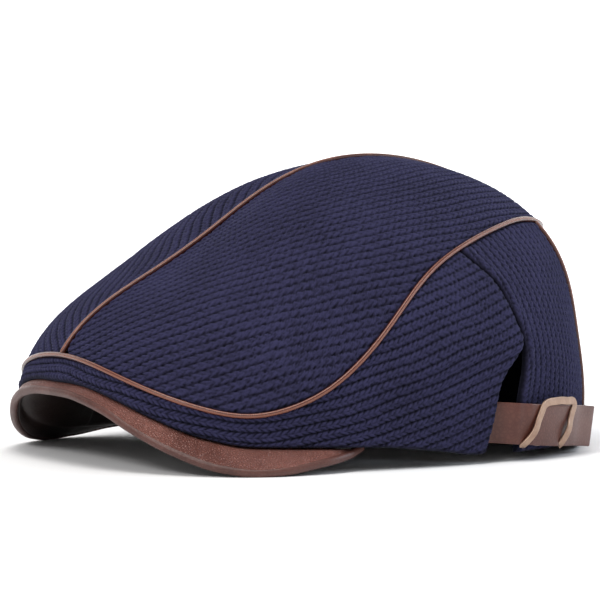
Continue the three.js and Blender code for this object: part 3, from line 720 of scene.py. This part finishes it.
def sheet_piece(name, rows, wall, count, width=57):
    """A leather sheet: rows carried along both ways by splines, with a wall under them."""
    wide = spline(PEAK_SHARES, rows.swapaxes(0, 1), np.linspace(0, 1, width)).swapaxes(0, 1)
    grid = spline(np.arange(len(wide)), wide, np.linspace(0, len(wide) - 1, count))
    normal = unit(np.cross(np.gradient(grid, axis=0), np.gradient(grid, axis=1)))
    normal *= np.sign(normal[..., 2].sum())
    sheets = [grid, grid - normal * wall]
    n, k = grid.shape[:2]
    index = np.arange(2 * n * k).reshape(2, n, k)
    loops = [edge_loop(index[0]), edge_loop(index[1])]
    walls = np.stack([loops[0], np.roll(loops[0], -1), np.roll(loops[1], -1), loops[1]], axis=1)
    spots = np.concatenate([sheet.reshape(-1, 3) for sheet in sheets])
    faces = [grid_faces(index[0]), grid_faces(index[1], True), walls[:, ::-1]]
    return add_mesh(name, spots, outward(spots, faces))


def strap_point(bearing, height_share, out):
    """Strap: the skin at that height, moved level off the skin by the strap's own table."""
    b = np.abs(np.where(bearing > 180, bearing - 360, bearing))
    height = column(STRAP[:, 0], STRAP[:, 1], b) + STRAP_WIDTH * height_share
    point = skin(b, rise_at(b, height))
    level = skin_normal(b, rise_at(b, np.full(b.shape, 0.5 * STRAP_WIDTH)))
    level[..., 2] = 0
    off = column(STRAP[:, 0], STRAP[:, 2], b) + out
    point = point + unit(level) * off[..., None]
    point[..., 0] = np.where(bearing > 180, -point[..., 0], point[..., 0])
    point[..., 2] = height
    return point


def strap_lift(bearing):
    """How far the outer strap stands off the inner one."""
    return column(STRAP[:, 0], STRAP[:, 3], bearing)


def strap_piece(name, first, last, lift):
    """Leather strap: a rounded slab profile carried along the bearings."""
    bearing = np.linspace(first, last, 121)[:, None]
    turn = slab_profile(STRAP_WIDTH, STRAP_WALL, 0.55, 5)
    share = (turn[:, 1] / STRAP_WIDTH + 0.5)[None, :]
    extra = lift(np.abs(np.where(bearing > 180, bearing - 360, bearing)))
    out = 0.5 * STRAP_WALL + turn[:, 0][None, :] + extra
    bearing, share, out = np.broadcast_arrays(bearing, share, out)
    spots = strap_point(bearing, share, out)
    n, k = spots.shape[:2]
    length = along_rows(spots)
    uv = np.stack([length, np.broadcast_to(share * STRAP_WIDTH, length.shape)], axis=-1)
    index = np.arange(n * k).reshape(n, k)
    index = np.hstack([index, index[:, :1]])
    caps = spots[[0, -1]].mean(axis=1)
    fan = np.stack([np.full(k, n * k), index[0, :-1], index[0, 1:]], axis=1)
    fan2 = np.stack([np.full(k, n * k + 1), index[-1, 1:], index[-1, :-1]], axis=1)
    flat = np.vstack([spots.reshape(-1, 3), caps])
    flat_uv = np.vstack([uv.reshape(-1, 2), uv[[0, -1], 0]])
    faces = outward(flat, [grid_faces(index), np.concatenate([fan, fan2])])
    return add_mesh(name, flat, faces, flat_uv)


# ---------------------------------------------------------------- materials
def srgb(code):
    """Linear colour of an sRGB hex code."""
    channels = np.array([int(code[i:i + 2], 16) for i in (1, 3, 5)]) / 255
    linear = np.where(channels <= 0.04045, channels / 12.92, ((channels + 0.055) / 1.055) ** 2.4)
    return (*linear, 1.0)


def node(tree, kind, settings=None, **inputs):
    """Adds a node with its settings; an input is a value or the socket that feeds it."""
    made = tree.nodes.new("ShaderNode" + kind)
    for name, value in (settings or {}).items():
        setattr(made, name, value)
    for name, value in inputs.items():
        key = int(name[1:]) if name[0] == "_" else name.replace("_", " ")
        if isinstance(value, bpy.types.NodeSocket):
            tree.links.new(value, made.inputs[key])
        else:
            made.inputs[key].default_value = value
    return made


def new_material(name):
    """Empty material with its output; returns the material, its tree and the output."""
    material = bpy.data.materials.new(name)
    material.use_nodes = True
    tree = material.node_tree
    tree.nodes.clear()
    return material, tree, tree.nodes.new("ShaderNodeOutputMaterial")


def ramp(tree, fac, *stops):
    """Colour ramp through (place, colour) stops."""
    made = node(tree, "ValToRGB", Fac=fac)
    elements = made.color_ramp.elements
    for k, (place, colour) in enumerate(stops):
        element = elements[k] if k < 2 else elements.new(place)
        element.position, element.color = place, colour
    return made.outputs["Color"]


def navy_wool(colours):
    """Woollen yarn, matt and marled, with painted shade in the hollows of the stitches and a
    painted highlight on their crests, both from the relief attribute, and with a haze of fibres
    that lights up at a grazing angle. Fibres about 0.2 mm, drawn at 0.35 mm to show."""
    material, tree, output = new_material("navy wool stocking stitch")
    relief = node(tree, "Attribute", {"attribute_name": "relief"}).outputs["Fac"]
    place = node(tree, "TexCoord").outputs["Object"]
    run = node(tree, "UVMap", {"uv_map": "Run"}).outputs["UV"]
    stretched = node(tree, "Mapping", Vector=run, Scale=(2600.0, 900.0, 1.0)).outputs["Vector"]
    fibre = node(tree, "TexNoise", Vector=stretched, Scale=1.0, Detail=3.0, Roughness=0.6)
    marl = node(tree, "TexNoise", Vector=place, Scale=620.0, Detail=4.0, Roughness=0.65)
    patch = node(tree, "TexNoise", Vector=place, Scale=38.0, Detail=3.0, Roughness=0.5)
    mixed = node(tree, "Math", {"operation": "MULTIPLY_ADD"}, _0=marl.outputs["Fac"], _1=0.75,
                 _2=-0.50)
    # Painted shade and highlight: the relief attribute darkens the stitch hollows and the inner
    # skin and lightens the crests.
    mixed = node(tree, "Math", {"operation": "MULTIPLY_ADD"}, _0=relief, _1=0.95,
                 _2=mixed.outputs[0])
    mixed = node(tree, "Math", {"operation": "MULTIPLY_ADD"}, _0=patch.outputs["Fac"], _1=0.35,
                 _2=mixed.outputs[0])
    colour = ramp(tree, mixed.outputs[0], (0.22, (*colours.wool_deep, 1)),
                  (1.0, (*colours.wool_light, 1)), (0.58, (*colours.wool, 1)))
    fuzz = node(tree, "Math", {"operation": "ADD"}, _0=fibre.outputs["Fac"],
                _1=marl.outputs["Fac"])
    bump = node(tree, "Bump", Height=fuzz.outputs[0], Strength=0.55, Distance=0.0005)
    shader = node(tree, "BsdfPrincipled", Base_Color=colour, Roughness=0.95,
                  Normal=bump.outputs["Normal"])
    shader.inputs["Specular IOR Level"].default_value = 0.15
    shader.inputs["Sheen Weight"].default_value = 0.10
    shader.inputs["Sheen Roughness"].default_value = 0.45
    shader.inputs["Sheen Tint"].default_value = srgb("#9aa0cc")
    tree.links.new(shader.outputs[0], output.inputs["Surface"])
    return material


def piping_leather(colour, light):
    """Thin glazed leather round a cord: dark flanks, a painted highlight along the crest where the
    cosine of the turn round the cord is high, broken by a cloudy tone, and fine cross creases
    0.9 mm apart."""
    material, tree, output = new_material("glazed piping leather")
    run = node(tree, "UVMap", {"uv_map": "Run"}).outputs["UV"]
    place = node(tree, "TexCoord").outputs["Object"]
    crease = node(tree, "TexWave", {"bands_direction": "X"}, Vector=run, Scale=350.0,
                  Distortion=1.2, Detail=2.0)
    cloud = node(tree, "TexNoise", Vector=place, Scale=160.0, Detail=4.0, Roughness=0.6)
    round_ = node(tree, "SeparateXYZ", Vector=run).outputs["Y"]
    turn = node(tree, "Math", {"operation": "COSINE"}, _0=node(
        tree, "Math", {"operation": "DIVIDE"}, _0=round_, _1=PIPING_RADIUS * MM).outputs[0])
    # Painted highlight: the crest, facing out from the crown, takes the light colour, mixed with a
    # random cloud.
    cloud_and_painted_highlight = node(tree, "Math", {"operation": "MULTIPLY_ADD"}, _0=cloud.outputs["Fac"], _1=0.5,
               _2=turn.outputs[0])
    base = ramp(tree, cloud_and_painted_highlight.outputs[0], (0.85, (*colour, 1)), (1.35, (*light, 1)))
    bump = node(tree, "Bump", Height=crease.outputs["Fac"], Strength=0.35, Distance=0.0002)
    rough = node(tree, "MapRange", Value=cloud.outputs["Fac"], To_Min=0.16, To_Max=0.34)
    shader = node(tree, "BsdfPrincipled", Base_Color=base, Roughness=rough.outputs[0],
                  Normal=bump.outputs["Normal"])
    shader.inputs["Coat Weight"].default_value = 0.15
    shader.inputs["Coat Roughness"].default_value = 0.18
    tree.links.new(shader.outputs[0], output.inputs["Surface"])
    return material


def grained_leather(name, colour, light, grain, depth, rough_low, rough_high):
    """Finished leather: small pebbles between fine creases, lighter in random cloudy patches and
    on the pebble tops, with painted shade darkening the creases. Grain is the width of a pebble
    in millimetres."""
    material, tree, output = new_material(name)
    place = node(tree, "TexCoord").outputs["Object"]
    wobble = node(tree, "TexNoise", Vector=place, Scale=260.0, Detail=2.0)
    bent = node(tree, "VectorMath", {"operation": "MULTIPLY_ADD"}, _0=wobble.outputs["Color"],
                _1=(0.0006, 0.0006, 0.0006), _2=place)
    cells = node(tree, "TexVoronoi", {"feature": "DISTANCE_TO_EDGE"}, Vector=bent.outputs[0],
                 Scale=1000.0 / grain)
    fine = node(tree, "TexNoise", Vector=place, Scale=2200.0 / grain, Detail=3.0, Roughness=0.6)
    cloud = node(tree, "TexNoise", Vector=place, Scale=55.0, Detail=4.0, Roughness=0.55)
    top = node(tree, "MapRange", Value=cells.outputs["Distance"], From_Max=0.28)
    height = node(tree, "Math", {"operation": "MULTIPLY_ADD"}, _0=fine.outputs["Fac"], _1=0.35,
                  _2=top.outputs[0])
    # Painted shade: the pebble tops are coloured lighter and the creases between them darker, over
    # a random cloud of tone.
    tone = node(tree, "Math", {"operation": "MULTIPLY_ADD"}, _0=top.outputs[0], _1=0.22,
                _2=cloud.outputs["Fac"])
    base = ramp(tree, tone.outputs[0], (0.38, (*colour, 1)), (0.82, (*light, 1)))
    rough = node(tree, "MapRange", Value=tone.outputs[0], From_Min=0.3, From_Max=0.9,
                 To_Min=rough_high, To_Max=rough_low)
    bump = node(tree, "Bump", Height=height.outputs[0], Strength=depth, Distance=0.0005)
    shader = node(tree, "BsdfPrincipled", Base_Color=base, Roughness=rough.outputs[0],
                  Normal=bump.outputs["Normal"])
    shader.inputs["Specular IOR Level"].default_value = 0.42
    tree.links.new(shader.outputs[0], output.inputs["Surface"])
    return material


def aged_brass():
    """Pale brass, plated and tumbled: a soft metal shine with a faint brushed cloud."""
    material, tree, output = new_material("aged brass")
    place = node(tree, "TexCoord").outputs["Object"]
    cloud = node(tree, "TexNoise", Vector=place, Scale=240.0, Detail=5.0, Roughness=0.65)
    base = ramp(tree, cloud.outputs["Fac"], (0.30, srgb("#94796a")), (0.75, srgb("#b39a87")))
    rough = node(tree, "MapRange", Value=cloud.outputs["Fac"], To_Min=0.30, To_Max=0.50)
    bump = node(tree, "Bump", Height=cloud.outputs["Fac"], Strength=0.15, Distance=0.0002)
    shader = node(tree, "BsdfPrincipled", Base_Color=base, Roughness=rough.outputs[0],
                  Normal=bump.outputs["Normal"])
    shader.inputs["Metallic"].default_value = 1.0
    tree.links.new(shader.outputs[0], output.inputs["Surface"])
    return material


def plain_thread(colour):
    """Waxed polyester thread, 0.5 mm, slightly shiny."""
    material, tree, output = new_material("waxed thread")
    place = node(tree, "TexCoord").outputs["Object"]
    twist = node(tree, "TexNoise", Vector=place, Scale=2500.0, Detail=2.0)
    base = ramp(tree, twist.outputs["Fac"], (0.3, (*colour, 1)), (0.8, srgb("#2a1611")))
    shader = node(tree, "BsdfPrincipled", Base_Color=base, Roughness=0.5)
    tree.links.new(shader.outputs[0], output.inputs["Surface"])
    return material


def studio_paper():
    """Matt white backdrop paper with a very faint tooth; a glow that grows from 0.15 to 0.6 m
    off the cap stands for lamps behind the set."""
    material, tree, output = new_material("white backdrop paper")
    place = node(tree, "TexCoord").outputs["Object"]
    tooth = node(tree, "TexNoise", Vector=place, Scale=400.0, Detail=2.0)
    base = ramp(tree, tooth.outputs["Fac"], (0.0, srgb("#f6f6f7")), (1.0, srgb("#fbfbfb")))
    far = node(tree, "VectorMath", {"operation": "LENGTH"}, _0=place)
    glow = node(tree, "MapRange", Value=far.outputs["Value"], From_Min=0.15, From_Max=0.6,
                To_Min=0.0, To_Max=0.8)
    shader = node(tree, "BsdfPrincipled", Base_Color=base, Roughness=0.9,
                  Emission_Strength=glow.outputs[0])
    shader.inputs["Emission Color"].default_value = (1, 1, 1, 1)
    tree.links.new(shader.outputs[0], output.inputs["Surface"])
    return material


def finish_piece(obj, material, slot, *nodes):
    """Gives a piece its material, lets it ride on the body and stand for its solids. The slot is
    not used.
    """
    obj.data.materials.append(material)
    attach(obj, "root")
    if nodes:
        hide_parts(*nodes)
    return obj


def shared(name, make):
    """A material made once and found again by its name."""
    return bpy.data.materials.get(name) or make()


# ---------------------------------------------------------------- settings
def colour_property(name, description, code):
    """Colour property with an sRGB hex default, kept as linear."""
    return FloatVectorProperty(name=name, description=description, subtype="COLOR", size=3,
                               min=0, max=1, default=srgb(code)[:3])


class CapSizes(bpy.types.PropertyGroup):
    """Sizes of the cap's finish, in millimetres."""

    wale: FloatProperty(name="Wale", description="Width of one column of stitches, mm",
                        default=4.0, min=1, max=12)
    course: FloatProperty(name="Course", description="Height of one row of stitches, mm",
                          default=2.8, min=1, max=12)
    relief: FloatProperty(name="Relief", description="Depth of the stitches, mm",
                          default=1.6, min=0, max=4)
    cloth: FloatProperty(name="Cloth", description="Thickness of the knit, mm",
                         default=3.0, min=1, max=6)
    piping: FloatProperty(name="Piping", description="Radius of the piping, mm",
                          default=PIPING_RADIUS, min=0.3, max=4)


class CapColours(bpy.types.PropertyGroup):
    """Colours of the cap's cloth and leather."""

    wool: colour_property("Wool", "Middle tone of the yarn", "#1a192b")
    # Painted shade: the stitch hollows and the inner skin take this colour.
    wool_deep: colour_property("Wool, deep", "Hollows between the stitches", "#060613")
    # Painted highlight on the stitch crests, together with the loose fibres.
    wool_light: colour_property("Wool, light", "Crests and loose fibres", "#2f2e4b")
    piping: colour_property("Piping", "Flanks of the piping", "#3f1a12")
    # Painted highlight along the crest of the piping.
    piping_highlight: colour_property("Piping, light", "Rubbed crest of the piping", "#73412f")
    peak: colour_property("Peak", "Leather of the peak", "#5f342b")
    # Lighter tone in random cloudy patches and on the pebble tops; the darker creases are painted
    # shade.
    peak_light: colour_property("Peak, light", "Rubbed grain of the peak", "#8c5c52")
    rim: colour_property("Rim", "Binding of the peak", "#41231d")
    # Lighter tone in random cloudy patches and on the pebble tops; the darker creases are painted
    # shade.
    rim_light: colour_property("Rim, light", "Rubbed binding of the peak", "#5d3a33")
    # Near black: a dark leather with the shade under the peak painted into it.
    under: colour_property("Underside", "Leather under the peak", "#1f0f0c")
    strap: colour_property("Strap", "Leather of the strap", "#4d2820")
    # Lighter tone in random cloudy patches and on the pebble tops; the darker creases are painted
    # shade.
    strap_light: colour_property("Strap, light", "Rubbed face of the strap", "#5f362c")


def wool(context):
    """The knit's material."""
    return shared("navy wool stocking stitch", lambda: navy_wool(context.scene.cap_colours))


def piping_material(context):
    """The piping's material."""
    c = context.scene.cap_colours
    return shared("glazed piping leather", lambda: piping_leather(c.piping, c.piping_highlight))


# ---------------------------------------------------------------- operators
class CAP_OT_top(bpy.types.Operator):
    """Knit the two halves of the crown's top"""

    bl_idname = "flat_cap.top"
    bl_label = "Crown Top"

    def execute(self, context):
        for side, name in ((1, "left"), (-1, "right")):
            control = top_grid(side, 49, 19)
            run = leaning_run(TOP_LEAN * [side, 1, 1])
            obj = knit_piece("knit_top_" + name, control, run, "top", context.scene.cap_sizes)
            finish_piece(obj, wool(context), "knit", "crown_top_" + name)
        return {"FINISHED"}


class CAP_OT_side(bpy.types.Operator):
    """Knit the side piece that runs round the front from vent to vent"""

    bl_idname = "flat_cap.side"
    bl_label = "Crown Side"

    def execute(self, context):
        control = side_grid(85, 13)
        obj = knit_piece("knit_side", control, climbing_run, "side", context.scene.cap_sizes)
        finish_piece(obj, wool(context), "knit", "crown_side")
        return {"FINISHED"}


class CAP_OT_back(bpy.types.Operator):
    """Knit the three pieces of the back"""

    bl_idname = "flat_cap.back"
    bl_label = "Crown Back"

    def execute(self, context):
        sizes = context.scene.cap_sizes

        def vent(drop):
            return column(REAR[:, 0], REAR[:, 2], drop) + SEAM_SLACK

        def seam(bearing):
            return lambda drop: np.full(drop.shape, bearing)

        for side, name in ((1, "left"), (-1, "right")):
            control = back_grid(vent, seam(BACK_SEAM - SEAM_SLACK), 19, 21) * [side, 1, 1]
            run = leaning_run(BACK_LEAN * [side, 1, 1])
            obj = knit_piece("knit_back_" + name, control, run, "back", sizes)
            finish_piece(obj, wool(context), "knit", "crown_back_" + name)
        control = back_grid(seam(BACK_SEAM + SEAM_SLACK), seam(360 - BACK_SEAM - SEAM_SLACK),
                            21, 21)
        obj = knit_piece("knit_back_center", control, falling_run, "center", sizes)
        finish_piece(obj, wool(context), "knit", "crown_back_center")
        return {"FINISHED"}


class CAP_OT_piping(bpy.types.Operator):
    """Lay the leather piping along the seams"""

    bl_idname = "flat_cap.piping"
    bl_label = "Piping"

    def execute(self, context):
        radius = context.scene.cap_sizes.piping
        seat = PIPING_SEAT * radius
        profile = round_profile(radius, 18)

        def lay(name, bearing, rise, closed, solid):
            out = skin_normal(bearing, rise)
            path = skin(bearing, rise) + out * seat
            path, out = evenly(path, out, TUBE_SPACING, closed)
            obj = tube_piece(name, path, out, profile, closed)
            finish_piece(obj, piping_material(context), "piping", solid)

        front, back = -(1 - band_rise(0.0) / 90), 1 - band_rise(180.0) / 90
        v = np.linspace(front + 0.006, back - 0.006, 90)
        lay("piping_over_crown", *from_disc(np.zeros(len(v)), v), False, "piping_crown")
        bearing = np.linspace(-180, 180, 181)[:-1]
        lay("piping_round_band", bearing, band_rise(bearing), True, "piping_band")
        top = skin(BACK_SEAM, band_rise(BACK_SEAM))[2] - 1.0
        low = column(STRAP[:, 0], STRAP[:, 1], BACK_SEAM) + STRAP_WIDTH - 2.0
        seam = np.full(40, BACK_SEAM)
        rise = rise_at(seam, np.linspace(top, low, len(seam)))
        for side, name in ((1, "left"), (-1, "right")):
            lay("piping_down_back_" + name, side * seam, rise, False, "piping_back_" + name)
        return {"FINISHED"}


class CAP_OT_peak(bpy.types.Operator):
    """Shape the peak's upper and under leather"""

    bl_idname = "flat_cap.peak"
    bl_label = "Peak"

    def execute(self, context):
        c = context.scene.cap_colours
        upper, lower = peak_rows(BOARD_RUN * np.linspace(-1, 1, 81))
        pebbled = shared("pebbled peak leather", lambda: grained_leather(
            "pebbled peak leather", c.peak, c.peak_light, 1.0, 1.0, 0.24, 0.44))
        # Painted shade: the under leather is made near black for the shade beneath the peak.
        smooth = shared("smooth under leather", lambda: grained_leather(
            "smooth under leather", c.under, c.under, 1.6, 0.12, 0.42, 0.55))
        finish_piece(sheet_piece("peak_upper_leather", upper, PEAK_UPPER_WALL, 321), pebbled,
                     "peak_leather", "peak_top")
        finish_piece(sheet_piece("peak_under_leather", lower, PEAK_UNDER_WALL, 321), smooth,
                     "under_leather", "peak_under")
        return {"FINISHED"}


class CAP_OT_rim(bpy.types.Operator):
    """Bind the peak's edge and sew it"""

    bl_idname = "flat_cap.rim"
    bl_label = "Peak Rim"

    def execute(self, context):
        c = context.scene.cap_colours
        along = np.linspace(-1, 1, 161)
        path = rim_point(along)
        out = np.tile([0.0, 0, -1], (len(along), 1))
        path, out = evenly(path, out, TUBE_SPACING)
        obj = tube_piece("rim_binding", path, out, round_profile(RIM_RADIUS, 24), False)
        leather = shared("smooth rim leather", lambda: grained_leather(
            "smooth rim leather", c.rim, c.rim_light, 1.5, 0.12, 0.36, 0.50))
        finish_piece(obj, leather, "peak_leather", "peak_rim")
        run = unit(np.gradient(path, axis=0))
        inward = unit(np.stack([-run[:, 1], run[:, 0], 0 * run[:, 0]], axis=1))
        under = unit(0.80 * inward + 0.60 * out)
        keep = slice(18, -18)
        stitches = bead_row("rim_stitches", (path + under * (RIM_RADIUS - 0.02))[keep],
                            under[keep], *STITCH)
        thread = shared("waxed thread", lambda: plain_thread(srgb("#0d0504")[:3]))
        finish_piece(stitches, thread, "peak_leather")
        return {"FINISHED"}


class CAP_OT_strap(bpy.types.Operator):
    """Cut the two leather straps of the back"""

    bl_idname = "flat_cap.strap"
    bl_label = "Straps"

    def execute(self, context):
        c = context.scene.cap_colours
        leather = shared("smooth strap leather", lambda: grained_leather(
            "smooth strap leather", c.strap, c.strap_light, 1.8, 0.05, 0.30, 0.42))
        obj = strap_piece("outer_strap", STRAP_START, TAIL_END, strap_lift)
        finish_piece(obj, leather, "strap_leather", "strap_left")
        obj = strap_piece("inner_strap", INNER_START, 360 - STRAP_START, lambda b: 0 * b)
        finish_piece(obj, leather, "strap_leather", "strap_right")
        return {"FINISHED"}


class CAP_OT_buckle(bpy.types.Operator):
    """Forge the buckle's slanted frame"""

    bl_idname = "flat_cap.buckle"
    bl_label = "Buckle"

    def execute(self, context):
        spots = BUCKLE_SPOTS
        around = np.array([BUCKLE_BEARING - 2, BUCKLE_BEARING + 2])
        ends = strap_point(around, np.full(2, 0.5), np.zeros(2))
        per_degree = np.linalg.norm(ends[1] - ends[0]) / 4
        low = column(STRAP[:, 0], STRAP[:, 1], BUCKLE_BEARING)
        shift = (spots[:, 0] * BUCKLE_HALF
                 + BUCKLE_SLANT * (spots[:, 1] - 0.5) * STRAP_WIDTH)
        place = BUCKLE_BEARING + shift / per_degree
        path = strap_point(place, np.full(len(place), 0.5), strap_lift(place) + BUCKLE_OFF)
        behind = np.where(spots[:, 1] < BUCKLE_FOOT, BUCKLE_BEHIND, 0.0)
        facing = unit(strap_point(around[:1], np.zeros(1), np.ones(1))
                      - strap_point(around[:1], np.zeros(1), np.zeros(1)))
        path = path - facing * behind[:, None]
        path[:, 2] = low + STRAP_WIDTH * spots[:, 1] - BUCKLE_DROOP * shift
        out = np.tile(facing, (len(path), 1))
        path, out = evenly(path, out, 0.5, True)
        obj = tube_piece("buckle", path, out, slab_profile(*BUCKLE_BAR, 0.4, 4), True)
        finish_piece(obj, shared("aged brass", aged_brass), "buckle_brass", "buckle_frame")
        return {"FINISHED"}


class CAP_OT_stage(bpy.types.Operator):
    """Set the floor, the lights and the camera"""

    bl_idname = "flat_cap.stage"
    bl_label = "Stage"

    def execute(self, context):
        scene = context.scene
        floor = add_floor()
        floor.data.materials.append(studio_paper())
        world = bpy.data.worlds.new("studio")
        scene.world = world
        world.use_nodes = True
        world.node_tree.nodes["Background"].inputs[0].default_value = (1, 1, 1, 1)
        world.node_tree.nodes["Background"].inputs[1].default_value = 0.48
        look = Vector((0.0, 0.0, 0.06))
        for name, spot, size, power, colour in (
            ("softbox above", (0.30, -0.30, 1.3), 0.7, 9.5, (1, 0.98, 0.96)),
            ("window left", (0.65, -1.2, 0.95), 0.35, 8.5, (1, 0.99, 0.98)),
            ("back light", (0.60, 1.2, 0.6), 0.6, 7.0, (0.78, 0.88, 1)),
        ):
            data = bpy.data.lights.new(name, "AREA")
            data.shape, data.size, data.energy, data.color = "SQUARE", size, power, colour
            lamp = bpy.data.objects.new(name, data)
            scene.collection.objects.link(lamp)
            direction = look - Vector(spot)
            lamp.matrix_world = (Matrix.Translation(spot)
                                 @ direction.to_track_quat("-Z", "Y").to_matrix().to_4x4())
        azimuth, height = np.radians(CAMERA_AZIMUTH), np.radians(CAMERA_HEIGHT)
        back = np.array([np.sin(azimuth) * np.cos(height), -np.cos(azimuth) * np.cos(height),
                         np.sin(height)])
        target = PLACE + [CAMERA_ACROSS * np.cos(azimuth), CAMERA_ACROSS * np.sin(azimuth),
                          CAMERA_LOOK_Z]
        data = bpy.data.cameras.new("camera")
        data.sensor_width, data.lens = 36.0, CAMERA_LENS
        data.clip_start, data.clip_end = 0.1, 50.0
        camera = bpy.data.objects.new("camera", data)
        scene.collection.objects.link(camera)
        camera.matrix_world = (
            Matrix.Translation(Vector((target + CAMERA_AWAY * back) * MM))
            @ Vector(-back).to_track_quat("-Z", "Y").to_matrix().to_4x4())
        scene.camera = camera
        scene.view_settings.view_transform = "Standard"
        return {"FINISHED"}


def add_floor():
    """Paper sheet: flat under the cap, curving up by a quarter circle far behind it."""
    turn = np.linspace(0, 0.5 * np.pi, 25)
    run = np.concatenate([[-3000.0, 2500.0], 2500 + 1500 * np.sin(turn[1:]), [4000.0]])
    rise = np.concatenate([[0.0, 0.0], 1500 * (1 - np.cos(turn[1:])), [4000.0]])
    wide = np.linspace(-4000, 4000, 9)
    azimuth = np.radians(CAMERA_AZIMUTH)
    back = np.array([-np.sin(azimuth), np.cos(azimuth), 0])
    side = np.array([np.cos(azimuth), np.sin(azimuth), 0])
    grid = (run[:, None, None] * back + wide[None, :, None] * side
            + rise[:, None, None] * np.array([0, 0, 1.0]))
    index = np.arange(grid.shape[0] * grid.shape[1]).reshape(grid.shape[:2])
    return add_mesh("backdrop", grid.reshape(-1, 3) - PLACE, [grid_faces(index, True)])


class CAP_PT_panel(bpy.types.Panel):
    """Lists the cap's pieces in the order they are made"""

    bl_idname = "CAP_PT_panel"
    bl_label = "Flat Cap"
    bl_space_type = "VIEW_3D"
    bl_region_type = "UI"
    bl_category = "Flat Cap"

    def draw(self, context):
        for group in (context.scene.cap_sizes, context.scene.cap_colours):
            for name in group.__annotations__:
                self.layout.prop(group, name)
        for operator in OPERATORS:
            self.layout.operator(operator.bl_idname)


OPERATORS = (CAP_OT_top, CAP_OT_side, CAP_OT_back, CAP_OT_piping, CAP_OT_peak, CAP_OT_rim,
             CAP_OT_strap, CAP_OT_buckle, CAP_OT_stage)
CLASSES = (CapSizes, CapColours, *OPERATORS, CAP_PT_panel)


def register():
    """Registers the classes and puts the settings on the scene."""
    for cls in CLASSES:
        bpy.utils.register_class(cls)
    bpy.types.Scene.cap_sizes = PointerProperty(type=CapSizes)
    bpy.types.Scene.cap_colours = PointerProperty(type=CapColours)


def unregister():
    """Takes the settings and classes away again."""
    del bpy.types.Scene.cap_colours
    del bpy.types.Scene.cap_sizes
    for cls in reversed(CLASSES):
        bpy.utils.unregister_class(cls)


def main():
    """Makes the cap piece by piece, then the stage."""
    register()
    bpy.ops.flat_cap.top()
    bpy.ops.flat_cap.side()
    bpy.ops.flat_cap.back()
    bpy.ops.flat_cap.piping()
    bpy.ops.flat_cap.peak()
    bpy.ops.flat_cap.rim()
    bpy.ops.flat_cap.strap()
    bpy.ops.flat_cap.buckle()
    bpy.ops.flat_cap.stage()


if __name__ == "__main__":
    main()
